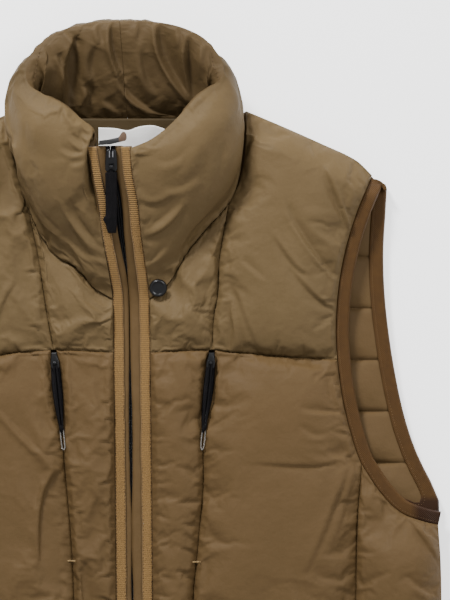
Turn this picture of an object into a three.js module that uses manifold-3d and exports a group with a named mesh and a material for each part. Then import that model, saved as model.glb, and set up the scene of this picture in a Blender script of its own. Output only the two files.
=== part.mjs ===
// A lightly padded vest with a tall funnel collar, laid on its back and seen from above.
// Millimetres: +X to the right of the view, +Y towards the collar, +Z up from the surface it lies on.

import * as THREE from 'three';
import { mergeVertices } from 'three/addons/utils/BufferGeometryUtils.js';
import Module from 'manifold-3d';

const wasm = await Module();
wasm.setup();

const { clamp, lerp, degToRad } = THREE.MathUtils;

// Driving sizes of the whole vest. TO_SEAMS is how far grid lines crowd towards a panel's edges.
const HEM_Y = -379;
const PIT_Y = -66.6;
const SEAM_INSET = 0.22;
const SEATED = 0.3;
const HEM_TURN = 14;
const TO_SEAMS = 0.55;

// Heights of the back layer: it rests flat, and is quilted crosswise on the side that faces up.
const BACK = { edgeRise: 4.5, riseRadius: 12, edgeTop: 9.4, lineTop: 10.5, crestTop: 16.5, radius: 34 };
const QUILT = { pitch: 46.5, lineY: 71, firstY: HEM_Y, lastY: 204 };

// Heights of the front layer, which lies on the back one.
const FRONT = { edgeUnder: 10.4, under: 19, edgeWall: 4.5, seamWall: 8.5, loft: 12, radius: 26, puffRadius: 36 };

// Armhole binding: folded brown tape.
const BINDING = { width: 12, frontWall: 6.2, backUnder: 4, backTop: 10.4 };

// Cloth of the small flat pieces.
const TAPE = { thick: 2, flangeThick: 2.6, blackThick: 1.6 };

// Half outline below the armhole, from the hem to the pit.
const SIDE = [
  { y: HEM_Y, x: 279 },
  { y: -250, x: 279.6 },
  { y: -145, x: 280.8 },
  { y: -109, x: 280 },
  { y: -77, x: 278 },
  { y: PIT_Y, x: 278.6 },
];

// Half outline of the shoulder, from the neck to the tip.
const SHOULDER = [
  { x: 103.5, y: 296.1 },
  { x: 135, y: 282.6 },
  { x: 171, y: 266.4 },
  { x: 202.5, y: 251.1 },
  { x: 217.8, y: 240.3 },
  { x: 230, y: 229 },
];

// Outer edge of the back armhole, from the pit to the shoulder tip.
const BACK_ARMHOLE = [
  { y: PIT_Y, x: 278.6 },
  { y: -47.7, x: 275.4 },
  { y: -14.4, x: 259.2 },
  { y: 17.1, x: 248.4 },
  { y: 57.6, x: 239.4 },
  { y: 98.1, x: 233.1 },
  { y: 134.1, x: 229.5 },
  { y: 170.1, x: 228.6 },
  { y: 201.6, x: 230.4 },
  { y: 226, x: 231.8 },
];

// Front armhole, where the cloth meets the binding: the hollow under the arm, then the long upright part.
const FRONT_ARM_LOW = [
  { x: 208.8, y: -23.4 },
  { x: 225, y: -47.7 },
  { x: 243, y: -65.7 },
  { x: 265.5, y: -74.7 },
  { x: 278, y: -77.6 },
];
const FRONT_ARM_HIGH = [
  { y: -47.7, x: 225 },
  { y: -23.4, x: 208.8 },
  { y: 8.1, x: 198 },
  { y: 39.6, x: 190.8 },
  { y: 75.6, x: 186.3 },
  { y: 102.6, x: 185.4 },
  { y: 138.6, x: 188.1 },
  { y: 171.9, x: 194.4 },
  { y: 204.3, x: 204.3 },
  { y: 240.3, x: 219.5 },
];
const ARM_JOINT_Y = -23.4;
const FRONT_ARM_TOP_Y = 234;

// The zip leans to the left as it climbs the collar. z is the top of the tapes beside it.
const ZIP_LINE = [
  { y: HEM_Y, x: 3.5, z: 17.4 },
  { y: -362, x: 3.3, z: 24.4 },
  { y: -145, x: 2, z: 25.6 },
  { y: 8, x: 0.5, z: 25.6 },
  { y: 110, x: -0.7, z: 25.8 },
  { y: 130, x: -1.2, z: 28 },
  { y: 150, x: -3.2, z: 36 },
  { y: 181, x: -7.4, z: 49 },
  { y: 213, x: -10.6, z: 61 },
  { y: 238, x: -15, z: 68.5 },
  { y: 264, x: -17.4, z: 73 },
];
const ZIP_TOP_Y = 262;
const ZIP_BOTTOM_Y = HEM_Y + 4;
const PIT_CUT = 1.6;

// Distances across the front from the zip line: the daylight between the flanges and the two ochre tapes.
const FRONT_STRIPS = [
  { y: HEM_Y, slit: 0.5, leftIn: 5.2, leftOut: 14.5, rightIn: 9.2, rightOut: 18.5 },
  { y: -75, slit: 0.6, leftIn: 5.2, leftOut: 14.5, rightIn: 9.2, rightOut: 18.5 },
  { y: 27, slit: 2.2, leftIn: 5.2, leftOut: 14.5, rightIn: 9.2, rightOut: 18.5 },
  { y: 125, slit: 3.2, leftIn: 5.4, leftOut: 14.6, rightIn: 9.2, rightOut: 18.5 },
  { y: 190, slit: 4.6, leftIn: 9, leftOut: 17.2, rightIn: 9.4, rightOut: 18.3 },
  { y: 245, slit: 7, leftIn: 10.8, leftOut: 18.2, rightIn: 9.6, rightOut: 17.8 },
  { y: 264, slit: 9, leftIn: 12.4, leftOut: 21.6, rightIn: 9.8, rightOut: 17.6 },
];

// Princess seams: below the yoke (x at each side) and above it, up to the collar.
const PRINCESS_LOW = [
  { y: HEM_Y, right: 54, left: -52 },
  { y: -260, right: 55, left: -51 },
  { y: -145, right: 56.9, left: -50.6 },
  { y: -90, right: 61.7, left: -53.2 },
  { y: -40, right: 65.9, left: -57.6 },
  { y: 6, right: 65.9, left: -61.6 },
  { y: 42, right: 70.2, left: -65.2 },
  { y: 79, right: 73.6, left: -68.8 },
];
const PRINCESS_HIGH = [
  { y: 79, right: 73.6, left: -68.8 },
  { y: 110, right: 75.4, left: -74.4 },
  { y: 129, right: 78.6, left: -77.4 },
  { y: 163, right: 80.6, left: -82.6 },
  { y: 191, right: 85, left: -88.2 },
  { y: 207, right: 88, left: -91.8 },
  { y: 212, right: 88.6, left: -92.8 },
];
const YOKE_LINE = [
  { x: 0, y: 77 },
  { x: 40, y: 79 },
  { x: 70, y: 80 },
  { x: 100, y: 77.5 },
  { x: 130, y: 74.6 },
  { x: 190, y: 71.4 },
];
const SIDE_PANEL_LINE = [
  { y: HEM_Y, x: 201 },
  { y: -145, x: 203.4 },
  { y: -71, x: 205 },
  { y: ARM_JOINT_Y, x: 208.8 },
];

// Chest zips, set in the lower princess seams just under the yoke. half is half the width of the slit.
const POCKET_SLIT = [
  { y: 2, half: 0 },
  { y: 20, half: 3 },
  { y: 42, half: 4.6 },
  { y: 62, half: 4.2 },
  { y: 79, half: 2.6 },
];
const POCKET_TOP_Y = 79;
const POCKET_LOW_Y = 4;

// Heights of the rows in the lower front, closer at the hem and along the chest zips.
const FRONT_HEIGHTS = [HEM_Y, -373, -362, -330, -285, -235, -185, -135, -90, -50, -18, 6, 24, 42, 60, 72, 80];

// Collar halves from the zip to the centre back. s is the neck seam and r the rim; turn is the way the
// seam edge faces, from up at the zip to down at the back; out and inside are the loft of the two faces.
const COLLAR_RIGHT = [
  { sx: 17.9, sy: 125.4, sz: 23, rx: 1.2, ry: 261, rz: 66, turn: 0, out: 3, inside: 2 },
  { sx: 34.9, sy: 139.6, sz: 23, rx: 17, ry: 267.5, rz: 68, turn: 2, out: 13, inside: 4 },
  { sx: 51.3, sy: 167.4, sz: 23, rx: 32, ry: 278, rz: 69, turn: 5, out: 21, inside: 5 },
  { sx: 66, sy: 186.5, sz: 23, rx: 46, ry: 291.5, rz: 69, turn: 10, out: 24, inside: 5 },
  { sx: 87.4, sy: 211.5, sz: 23, rx: 60, ry: 307, rz: 67, turn: 18, out: 24, inside: 5 },
  { sx: 95.2, sy: 230, sz: 23, rx: 72, ry: 315.5, rz: 63, turn: 26, out: 21, inside: 5 },
  { sx: 98.4, sy: 256, sz: 22.5, rx: 81.5, ry: 322.5, rz: 57, turn: 45, out: 14, inside: 9 },
  { sx: 97.4, sy: 279, sz: 19.5, rx: 84, ry: 333, rz: 52, turn: 85, out: 8, inside: 15 },
  { sx: 92, sy: 290, sz: 14.5, rx: 79, ry: 346, rz: 48, turn: 125, out: 8, inside: 17 },
  { sx: 77, sy: 290.5, sz: 11, rx: 66, ry: 360.5, rz: 45, turn: 155, out: 10, inside: 14 },
  { sx: 58, sy: 289.6, sz: 10, rx: 48, ry: 369.5, rz: 43, turn: 170, out: 14, inside: 11 },
  { sx: 36, sy: 288.6, sz: 10, rx: 30, ry: 374, rz: 41.5, turn: 180, out: 15, inside: 9 },
  { sx: 16, sy: 288, sz: 10, rx: 12, ry: 375.8, rz: 41, turn: 180, out: 15, inside: 9 },
  { sx: -2.2, sy: 288, sz: 10, rx: -4.2, ry: 376.2, rz: 41, turn: 180, out: 15, inside: 9 },
];
const COLLAR_LEFT = [
  { sx: -16, sy: 125.4, sz: 23, rx: -39.2, ry: 262, rz: 66, turn: 0, out: 3, inside: 2 },
  { sx: -29.6, sy: 134, sz: 23, rx: -40, ry: 277, rz: 68, turn: -2, out: 13, inside: 4 },
  { sx: -48, sy: 153.4, sz: 23, rx: -47, ry: 290.5, rz: 69, turn: -5, out: 21, inside: 5 },
  { sx: -71, sy: 171.4, sz: 23, rx: -58, ry: 299.5, rz: 69, turn: -10, out: 24, inside: 5 },
  { sx: -90.6, sy: 207, sz: 23, rx: -70, ry: 306, rz: 67, turn: -18, out: 24, inside: 5 },
  { sx: -96, sy: 230, sz: 23, rx: -81, ry: 311.5, rz: 63, turn: -26, out: 20, inside: 5 },
  { sx: -101.4, sy: 254, sz: 22.5, rx: -91, ry: 319.5, rz: 57, turn: -45, out: 14, inside: 9 },
  { sx: -104.2, sy: 279, sz: 19.5, rx: -93, ry: 333, rz: 52, turn: -85, out: 8, inside: 15 },
  { sx: -99.6, sy: 290.4, sz: 14.5, rx: -88, ry: 346, rz: 48, turn: -125, out: 8, inside: 17 },
  { sx: -84, sy: 290.5, sz: 11, rx: -74.5, ry: 360.5, rz: 45, turn: -155, out: 10, inside: 14 },
  { sx: -64, sy: 289.6, sz: 10, rx: -57, ry: 369, rz: 43, turn: -170, out: 14, inside: 11 },
  { sx: -42, sy: 288.6, sz: 10, rx: -38, ry: 373.8, rz: 41.5, turn: -180, out: 15, inside: 9 },
  { sx: -21, sy: 288, sz: 10, rx: -20, ry: 375.8, rz: 41, turn: -180, out: 15, inside: 9 },
  { sx: -2.8, sy: 288, sz: 10, rx: -4.8, ry: 376.2, rz: 41, turn: -180, out: 15, inside: 9 },
];
const COLLAR = {
  seamHalf: 4, rimHalf: 2.6, frontHalf: 3.4, princessStation: 4, backStation: 8, seamLift: 0.012, tapeGap: 1.2,
};

const COLLAR_RINGS = 8;

// Neck edge of the yoke above the princess seam, up to the shoulder.
const NECK_SIDE = [
  { y: 207, right: 86.8, left: -91.8 },
  { y: 211.5, right: 88.6, left: -93.2 },
  { y: 230, right: 98, left: -98.8 },
  { y: 254, right: 102.8, left: -105.2 },
  { y: 275, right: 104.2, left: -110 },
  { y: 297, right: 104.4, left: -111.6 },
];
const NECK_CORNER_X = { right: 104.4, left: -111.6 };

// Upright pleats inside the back of the collar, where it is gathered into the neck seam.
const COLLAR_PLEATS = [
  { x0: -47, y0: 356, x1: -55, y1: 306, width: 6, deep: 8 },
  { x0: -15, y0: 366, x1: -6, y1: 324, width: 5.5, deep: 5 },
  { x0: -9, y0: 324, x1: 40, y1: 294, width: 5.5, deep: 4 },
  { x0: 27, y0: 366, x1: 55, y1: 306, width: 6, deep: 7 },
  { x0: 54, y0: 354, x1: 57, y1: 310, width: 5, deep: 4.5 },
  { x0: -38, y0: 316, x1: -44, y1: 298, width: 6, deep: 4.5 },
];

// Long soft creases in the front, drawn on each side from its own list. deep is the trough's depth.
const CREASES_RIGHT = [
  { x0: 144, y0: 207, x1: 184, y1: 148, width: 7, deep: 3.4 },
  { x0: 172, y0: 245, x1: 196, y1: 187, width: 6, deep: 3.6 },
  { x0: 132, y0: 179, x1: 154, y1: 152, width: 6, deep: 2.6 },
  { x0: 146, y0: 148, x1: 182, y1: 115, width: 6, deep: 2.8 },
  { x0: 91, y0: 136, x1: 102, y1: 84, width: 6, deep: 2.2 },
  { x0: 153, y0: 27, x1: 190, y1: 27, width: 6, deep: 1.8 },
  { x0: 118, y0: -23, x1: 188, y1: -23, width: 7, deep: 2.2 },
  { x0: 200, y0: -18, x1: 187, y1: -64, width: 6, deep: 3 },
  { x0: 227, y0: -76, x1: 268, y1: -138, width: 8, deep: 2.4 },
  { x0: 150, y0: -128, x1: 196, y1: -210, width: 9, deep: 2.6 },
  { x0: 84, y0: -246, x1: 128, y1: -322, width: 9, deep: 2.4 },
];
const CREASES_LEFT = [
  { x0: -150, y0: 212, x1: -182, y1: 150, width: 7, deep: 3.2 },
  { x0: -176, y0: 240, x1: -197, y1: 190, width: 6, deep: 3.4 },
  { x0: -128, y0: 172, x1: -158, y1: 138, width: 6, deep: 2.4 },
  { x0: -117, y0: 30, x1: -70, y1: -19, width: 7, deep: 2.4 },
  { x0: -62, y0: -32, x1: -77, y1: -105, width: 6, deep: 2.6 },
  { x0: -150, y0: 24, x1: -188, y1: 29, width: 6, deep: 1.8 },
  { x0: -196, y0: -22, x1: -184, y1: -70, width: 6, deep: 3 },
  { x0: -224, y0: -84, x1: -262, y1: -150, width: 8, deep: 2.6 },
  { x0: -142, y0: -140, x1: -190, y1: -222, width: 9, deep: 2.4 },
  { x0: -90, y0: -262, x1: -124, y1: -330, width: 9, deep: 2.6 },
];

// Back neck seam: a shallow curve between the shoulders. The collar sits a little to the left.
const NECK_CENTRE_X = -3.5;
const NECK_BACK = { y: 287.4, rise: 1.2, halfWidth: 99, cornerShare: 0.085, cornerY: 295.6 };

// Snap at the foot of the collar. It pulls the padding down around it. The profile runs from its
// centre out over the raised ring to the rim and back under.
const SNAP = { x: 25.4, y: 136.2, z: 32.6, pressRadius: 19, tilt: 16 };
const SNAP_PROFILE = [
  { r: 0, z: 0 },
  { r: 8, z: 0 },
  { r: 8.2, z: 1.2 },
  { r: 7.4, z: 2.8 },
  { r: 6.2, z: 3.2 },
  { r: 5.3, z: 2.3 },
  { r: 0, z: 2.1 },
];

// Facing and label inside the back neck.
const FACING = { halfWidth: 76, top: 286.4, bottom: 236, thick: 1.6 };
const LABEL_TOP = [
  { x: -28.5, y: 280.6 },
  { x: -14, y: 280 },
  { x: -2, y: 278.2 },
  { x: 8, y: 281.4 },
  { x: 20, y: 282.6 },
  { x: 31, y: 279.6 },
];
const LABEL = { bottom: 242, thick: 0.6 };

// Dark end of the inner zip guard, folded forward over the top of the zip.
const GUARD_END = [
  { x: -27.5, y: 263.6 },
  { x: -17, y: 264.2 },
  { x: -8.6, y: 266.2 },
  { x: -3.6, y: 267.4 },
  { x: -2.2, y: 271 },
  { x: -4.2, y: 275.4 },
  { x: -7, y: 274.4 },
  { x: -8.8, y: 270.8 },
  { x: -17, y: 268.8 },
  { x: -27, y: 267.4 },
];
const GUARD = { z: 70.6, thick: 3 };

// Main slider and its webbing pull. The pull hangs from a bar; its slope lays it down the collar.
const MAIN_SLIDER = { y: 250, rise: -2, slope: 10, thick: 4.4, barY: -5, barZ: 6.6 };
const MAIN_SLIDER_OUTLINE = [
  { x: -4.2, y: 10.4 },
  { x: 4.2, y: 10.4 },
  { x: 5.4, y: 0 },
  { x: 5.4, y: -7.6 },
  { x: 3.2, y: -10.4 },
  { x: -3.2, y: -10.4 },
  { x: -5.4, y: -7.6 },
  { x: -5.4, y: 0 },
];
const MAIN_PULL = { slope: 20.2, thick: 2 };
const MAIN_STRAP_OUTLINE = [
  { x: -1.4, y: 0 },
  { x: -1.4, y: -3.8 },
  { x: -5.2, y: -5 },
  { x: -5.2, y: -46 },
  { x: -7.4, y: -49.5 },
  { x: -5.4, y: -54 },
  { x: -3.4, y: -62.5 },
  { x: 4.4, y: -61 },
  { x: 5.2, y: -46 },
  { x: 5.2, y: -5 },
  { x: 1.4, y: -3.8 },
  { x: 1.4, y: 0 },
];

// Chest zip sliders and their thin pulls, which end in a clear loop.
const POCKET_SLIDER = { y: 71, z: 28.4, thick: 3.4, barY: -2.5, barZ: 5.5 };
const POCKET_SLIDER_OUTLINE = [
  { x: -2.2, y: 7 },
  { x: 2.2, y: 7 },
  { x: 4, y: -2 },
  { x: 4, y: -6 },
  { x: 2.6, y: -7.6 },
  { x: -2.6, y: -7.6 },
  { x: -4, y: -6 },
  { x: -4, y: -2 },
];
const POCKET_PULL = { slope: 2.4, turn: 5.8, thick: 1.8 };
const POCKET_STRAP_OUTLINE = [
  { x: -1.2, y: 0 },
  { x: -1.2, y: -3.4 },
  { x: -2.6, y: -4.6 },
  { x: -2.6, y: -60 },
  { x: -2, y: -62 },
  { x: -2, y: -79 },
  { x: 2, y: -79 },
  { x: 2, y: -62 },
  { x: 2.6, y: -60 },
  { x: 2.6, y: -4.6 },
  { x: 1.2, y: -3.4 },
  { x: 1.2, y: 0 },
];
const BAR = { radius: 0.85, bore: 1.15, eye: 1.85, sides: 14 };
const POCKET_ZIP = { low: 24, high: 26.4 };

// Colours and surfaces, read from the photograph.
const FINISH = {
  shell: { color: 0x745b3d, roughness: 0.62, metalness: 0 },
  ochre: { color: 0x917146, roughness: 0.85, metalness: 0 },
  binding: { color: 0x5c4326, roughness: 0.7, metalness: 0 },
  blackTape: { color: 0x17161a, roughness: 0.75, metalness: 0 },
  blackMetal: { color: 0x101013, roughness: 0.28, metalness: 0.7 },
  strap: { color: 0x18161a, roughness: 0.8, metalness: 0 },
  label: { color: 0xe4e2dd, roughness: 0.75, metalness: 0 },
};

// A smooth curve through a table's rows, read at a value of its key column.
function slopeOf(rows, key, column, index) {
  const before = rows[Math.max(index - 1, 0)];
  const after = rows[Math.min(index + 1, rows.length - 1)];
  return (after[column] - before[column]) / (after[key] - before[key]);
}

function read(rows, key, column, value) {
  let index = 0;
  while (index < rows.length - 2 && value > rows[index + 1][key]) {
    index += 1;
  }
  const from = rows[index];
  const to = rows[index + 1];
  const span = to[key] - from[key];
  const f = clamp((value - from[key]) / span, 0, 1);
  const rise = from[column] + (to[column] - from[column]) * f * f * (3 - 2 * f);
  const start = slopeOf(rows, key, column, index) * span * f * (1 - f) * (1 - f);
  const finish = slopeOf(rows, key, column, index + 1) * span * f * f * (1 - f);
  return rise + start - finish;
}

// A station list read smoothly at a fractional row number.
function readStation(rows, column, station) {
  const last = rows.length - 1;
  const index = Math.min(Math.floor(station), last - 1);
  const f = station - index;
  const before = rows[Math.max(index - 1, 0)][column];
  const from = rows[index][column];
  const to = rows[index + 1][column];
  const after = rows[Math.min(index + 2, last)][column];
  const start = (to - before) / 2;
  const finish = (after - from) / 2;
  return from + (to - from) * f * f * (3 - 2 * f) + start * f * (1 - f) * (1 - f) - finish * f * f * (1 - f);
}

// Quarter-round rise from 0 at an edge to 1 at the given radius.
function rounded(distance, radius) {
  return Math.sin(Math.PI / 2 * clamp(distance / radius, 0, 1));
}

// Fractions from 0 to 1, closer together at the ends where cloth turns down into a seam.
function crowded(count, pull) {
  const list = [];
  for (let i = 0; i <= count; i += 1) {
    const f = i / count;
    list.push(lerp(f, (1 - Math.cos(Math.PI * f)) / 2, pull));
  }
  return list;
}

function distanceToFold(fold, x, y) {
  const dx = fold.x1 - fold.x0;
  const dy = fold.y1 - fold.y0;
  const f = clamp(((x - fold.x0) * dx + (y - fold.y0) * dy) / (dx * dx + dy * dy), 0, 1);
  return Math.hypot(x - fold.x0 - dx * f, y - fold.y0 - dy * f);
}

function troughDepth(folds, x, y) {
  let depth = 0;
  for (const fold of folds) {
    const reach = distanceToFold(fold, x, y) / fold.width;
    depth += fold.deep * Math.exp(-reach * reach);
  }
  return depth;
}

// Distance in from the vest's outline: hem, side and shoulder.
function fromOutline(x, y) {
  const side = read(SIDE, 'y', 'x', y) - Math.abs(x);
  const hem = y - HEM_Y;
  const away = Math.max(Math.abs(x), SHOULDER[0].x);
  const slope = slopeOf(SHOULDER, 'x', 'y', 2);
  const level = read(SHOULDER, 'x', 'y', away) - slope * (away - Math.abs(x));
  const shoulder = (level - y) / Math.hypot(1, slope);
  return Math.max(0, Math.min(side, hem, shoulder));
}

function frontUnder(x, y) {
  return lerp(FRONT.edgeUnder, FRONT.under, rounded(fromOutline(x, y), FRONT.radius));
}

function snapPress(x, y) {
  const reach = Math.hypot(x - SNAP.x, y - SNAP.y) / SNAP.pressRadius;
  return 1 - Math.exp(-reach * reach * reach);
}

// Top of a front panel. puff runs from 0 at a seam to 1 in the middle.
function frontTop(x, y, puff) {
  const body = rounded(fromOutline(x, y), FRONT.radius);
  const wall = lerp(FRONT.edgeWall, FRONT.seamWall, body);
  const loft = FRONT.loft * puff * lerp(0.35, 1, body) * snapPress(x, y);
  const folds = x > 0 ? CREASES_RIGHT : CREASES_LEFT;
  const trough = Math.min(troughDepth(folds, x, y), loft * 0.8);
  return frontUnder(x, y) + wall + loft - trough;
}

function backHalfWidth(y) {
  if (y <= PIT_Y - PIT_CUT) {
    return read(SIDE, 'y', 'x', y);
  }
  const path = backArmPath();
  let index = 0;
  while (index < path.length - 2 && y > path[index + 1].inner.y) {
    index += 1;
  }
  const from = path[index].inner;
  const to = path[index + 1].inner;
  return lerp(from.x, to.x, (y - from.y) / (to.y - from.y)) - 2 * SEAM_INSET;
}

// Both edges of the back armhole's binding, from the pit to the shoulder tip.
function backArmPath() {
  const steps = 22;
  return Array.from({ length: steps + 1 }, (_, i) => {
    const y = lerp(PIT_Y + 1.2, BACK_ARMHOLE.at(-1).y, i / steps);
    const slope = (read(BACK_ARMHOLE, 'y', 'x', y + 1) - read(BACK_ARMHOLE, 'y', 'x', y - 1)) / 2;
    const shift = BINDING.width / Math.hypot(1, slope);
    const x = read(BACK_ARMHOLE, 'y', 'x', y);
    return { outer: { x, y }, inner: { x: x - shift, y: y + slope * shift } };
  });
}

function backTop(x, y) {
  const away = Math.abs((y - QUILT.lineY) / QUILT.pitch - Math.round((y - QUILT.lineY) / QUILT.pitch));
  const channel = y < QUILT.lastY ? Math.pow(Math.sin(Math.PI * away), 0.6) : 1;
  const edge = Math.min(fromOutline(x, y), Math.max(0, y > PIT_Y ? backHalfWidth(y) - Math.abs(x) : BACK.radius));
  return lerp(BACK.edgeTop, lerp(BACK.lineTop, BACK.crestTop, channel), rounded(edge, BACK.radius));
}

function backUnder(x, y) {
  const edge = Math.min(fromOutline(x, y), Math.max(0, y > PIT_Y ? backHalfWidth(y) - Math.abs(x) : BACK.radius));
  return BACK.edgeRise * (1 - rounded(edge, BACK.riseRadius));
}

// A closed wall between two sheets of points, with its four edges filled in and its faces turned out.
function wall(under, over) {
  const rows = under.length;
  const columns = under[0].length;
  const positions = [];
  for (const sheet of [under, over]) {
    for (const row of sheet) {
      for (const point of row) {
        positions.push(point.x, point.y, point.z);
      }
    }
  }
  const at = (sheet, row, column) => (sheet * rows + row) * columns + column;
  const faces = [];
  const quad = (a, b, c, d) => faces.push(a, b, c, a, c, d);
  for (let r = 0; r < rows - 1; r += 1) {
    for (let c = 0; c < columns - 1; c += 1) {
      quad(at(1, r, c), at(1, r, c + 1), at(1, r + 1, c + 1), at(1, r + 1, c));
      quad(at(0, r, c), at(0, r + 1, c), at(0, r + 1, c + 1), at(0, r, c + 1));
    }
  }
  for (let c = 0; c < columns - 1; c += 1) {
    quad(at(0, 0, c), at(0, 0, c + 1), at(1, 0, c + 1), at(1, 0, c));
    quad(at(0, rows - 1, c + 1), at(0, rows - 1, c), at(1, rows - 1, c), at(1, rows - 1, c + 1));
  }
  for (let r = 0; r < rows - 1; r += 1) {
    quad(at(0, r + 1, 0), at(0, r, 0), at(1, r, 0), at(1, r + 1, 0));
    quad(at(0, r, columns - 1), at(0, r + 1, columns - 1), at(1, r + 1, columns - 1), at(1, r, columns - 1));
  }
  return facingOut(positions, faces);
}

function facingOut(positions, faces) {
  let volume = 0;
  const a = new THREE.Vector3();
  const b = new THREE.Vector3();
  const c = new THREE.Vector3();
  for (let i = 0; i < faces.length; i += 3) {
    a.fromArray(positions, faces[i] * 3);
    b.fromArray(positions, faces[i + 1] * 3);
    c.fromArray(positions, faces[i + 2] * 3);
    volume += a.dot(b.cross(c));
  }
  const turned = volume > 0 ? faces : faces.toReversed();
  const geometry = new THREE.BufferGeometry();
  geometry.setAttribute('position', new THREE.Float32BufferAttribute(positions, 3));
  geometry.setIndex(turned);
  return geometry;
}

// A tube of cloth or tape: rings of matching points joined end to end and capped.
function sleeve(rings) {
  const count = rings[0].length;
  const positions = rings.flat().flatMap((point) => [point.x, point.y, point.z]);
  const faces = [];
  for (let r = 0; r < rings.length - 1; r += 1) {
    for (let i = 0; i < count; i += 1) {
      const next = (i + 1) % count;
      const a = r * count;
      const b = a + count;
      faces.push(a + i, a + next, b + next, a + i, b + next, b + i);
    }
  }
  const last = (rings.length - 1) * count;
  for (let i = 1; i < count - 1; i += 1) {
    faces.push(0, i + 1, i);
    faces.push(last, last + i, last + i + 1);
  }
  return facingOut(positions, faces);
}

function piece(name, finish, geometry) {
  geometry.computeVertexNormals();
  const mesh = new THREE.Mesh(geometry, new THREE.MeshStandardMaterial(finish));
  mesh.name = name;
  return mesh;
}

// Joins closed shapes into one body.
function joined(shapes) {
  const solids = shapes.map((shape) => {
    const plain = shape.clone();
    plain.deleteAttribute('normal');
    plain.deleteAttribute('uv');
    const merged = mergeVertices(plain, 1e-4);
    return new wasm.Manifold(new wasm.Mesh({
      numProp: 3,
      vertProperties: new Float32Array(merged.attributes.position.array),
      triVerts: new Uint32Array(merged.index.array),
    }));
  });
  const whole = solids.reduce((sum, next) => sum.add(next));
  const mesh = whole.getMesh();
  const geometry = new THREE.BufferGeometry();
  geometry.setAttribute('position', new THREE.Float32BufferAttribute(mesh.vertProperties, 3));
  geometry.setIndex(Array.from(mesh.triVerts));
  return geometry;
}

// Points of a panel drawn between four edges; each edge is a function of its own fraction.
function patchPoint(edges, s, t) {
  const bottom = edges.bottom(s);
  const top = edges.top(s);
  const left = edges.left(t);
  const right = edges.right(t);
  const corners = [edges.bottom(0), edges.bottom(1), edges.top(0), edges.top(1)];
  const blend = (axis) => lerp(bottom[axis], top[axis], t) + lerp(left[axis], right[axis], s)
    - lerp(lerp(corners[0][axis], corners[1][axis], s), lerp(corners[2][axis], corners[3][axis], s), t);
  const x = blend('x');
  const y = blend('y');
  const across = new THREE.Vector2(right.x - left.x, right.y - left.y);
  const along = new THREE.Vector2(top.x - bottom.x, top.y - bottom.y);
  const wide = across.length();
  const long = along.length();
  across.normalize().multiplyScalar(SEAM_INSET * (1 - 2 * s));
  along.normalize().multiplyScalar(SEAM_INSET * (1 - 2 * t));
  return { x: x + across.x + along.x, y: y + across.y + along.y, wide, long };
}

// A padded front panel. seams names the edges where the padding is pinched flat.
function frontPanel(name, edges, seams, rows, columns) {
  const under = [];
  const over = [];
  for (const t of rows) {
    const low = [];
    const high = [];
    for (const s of columns) {
      const { x, y, wide, long } = patchPoint(edges, s, t);
      const reach = { left: s * wide, right: (1 - s) * wide, bottom: t * long, top: (1 - t) * long };
      const puff = seams.reduce((value, side) => value * rounded(reach[side], FRONT.puffRadius), 1);
      low.push({ x, y, z: frontUnder(x, y) });
      high.push({ x, y, z: frontTop(x, y, puff) });
    }
    under.push(low);
    over.push(high);
  }
  return piece(name, FINISH.shell, wall(under, over));
}

// Rows and columns that neighbouring pieces share.
const LOW_ROWS = FRONT_HEIGHTS.map((y) => (y - HEM_Y) / (FRONT_HEIGHTS.at(-1) - HEM_Y));
const SIDE_ROWS = crowded(10, 0.35);
const SHOULDER_ROWS = crowded(12, 0.5);
const SHOULDER_COLUMNS = crowded(10, 0.6);
const UNDERARM_COLUMNS = crowded(7, 0.5);
const ALL_SEAMS = ['left', 'right', 'bottom', 'top'];

// Edge lines of the front panels.
const sideOf = (sign) => (sign > 0 ? 'right' : 'left');

function tapeEdge(sign, y) {
  const offset = sign > 0 ? read(FRONT_STRIPS, 'y', 'rightOut', y) : -read(FRONT_STRIPS, 'y', 'leftOut', y);
  return read(ZIP_LINE, 'y', 'x', y) + offset;
}

function princessX(sign, y) {
  const rows = y < PRINCESS_HIGH[0].y ? PRINCESS_LOW : PRINCESS_HIGH;
  return read(rows, 'y', sideOf(sign), y);
}

function slitHalf(y) {
  return y > POCKET_SLIT[0].y ? Math.max(0, read(POCKET_SLIT, 'y', 'half', y)) : 0;
}

const yokeY = (x) => read(YOKE_LINE, 'x', 'y', Math.abs(x));
const hemLine = (from, to) => (s) => ({ x: lerp(from, to, s), y: HEM_Y });
const yokeLine = (from, to) => (s) => ({ x: lerp(from, to, s), y: yokeY(lerp(from, to, s)) });
const upright = (low, high, xAt) => (t) => ({ x: xAt(lerp(low, high, t)), y: lerp(low, high, t) });

function armholeX(sign, y) {
  return sign * read(FRONT_ARM_HIGH, 'y', 'x', y);
}

function frontCentre(sign) {
  const seamTop = princessX(sign, 78.9);
  const edges = {
    bottom: hemLine(tapeEdge(sign, HEM_Y), princessX(sign, HEM_Y)),
    top: yokeLine(tapeEdge(sign, 77), seamTop - sign * slitHalf(79)),
    left: upright(HEM_Y, yokeY(17), (y) => tapeEdge(sign, y)),
    right: upright(HEM_Y, yokeY(seamTop), (y) => princessX(sign, y) - sign * slitHalf(y)),
  };
  return frontPanel(`front_centre_${sideOf(sign)}`, edges, ['left', 'right', 'top'], LOW_ROWS, crowded(6, TO_SEAMS));
}

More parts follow.
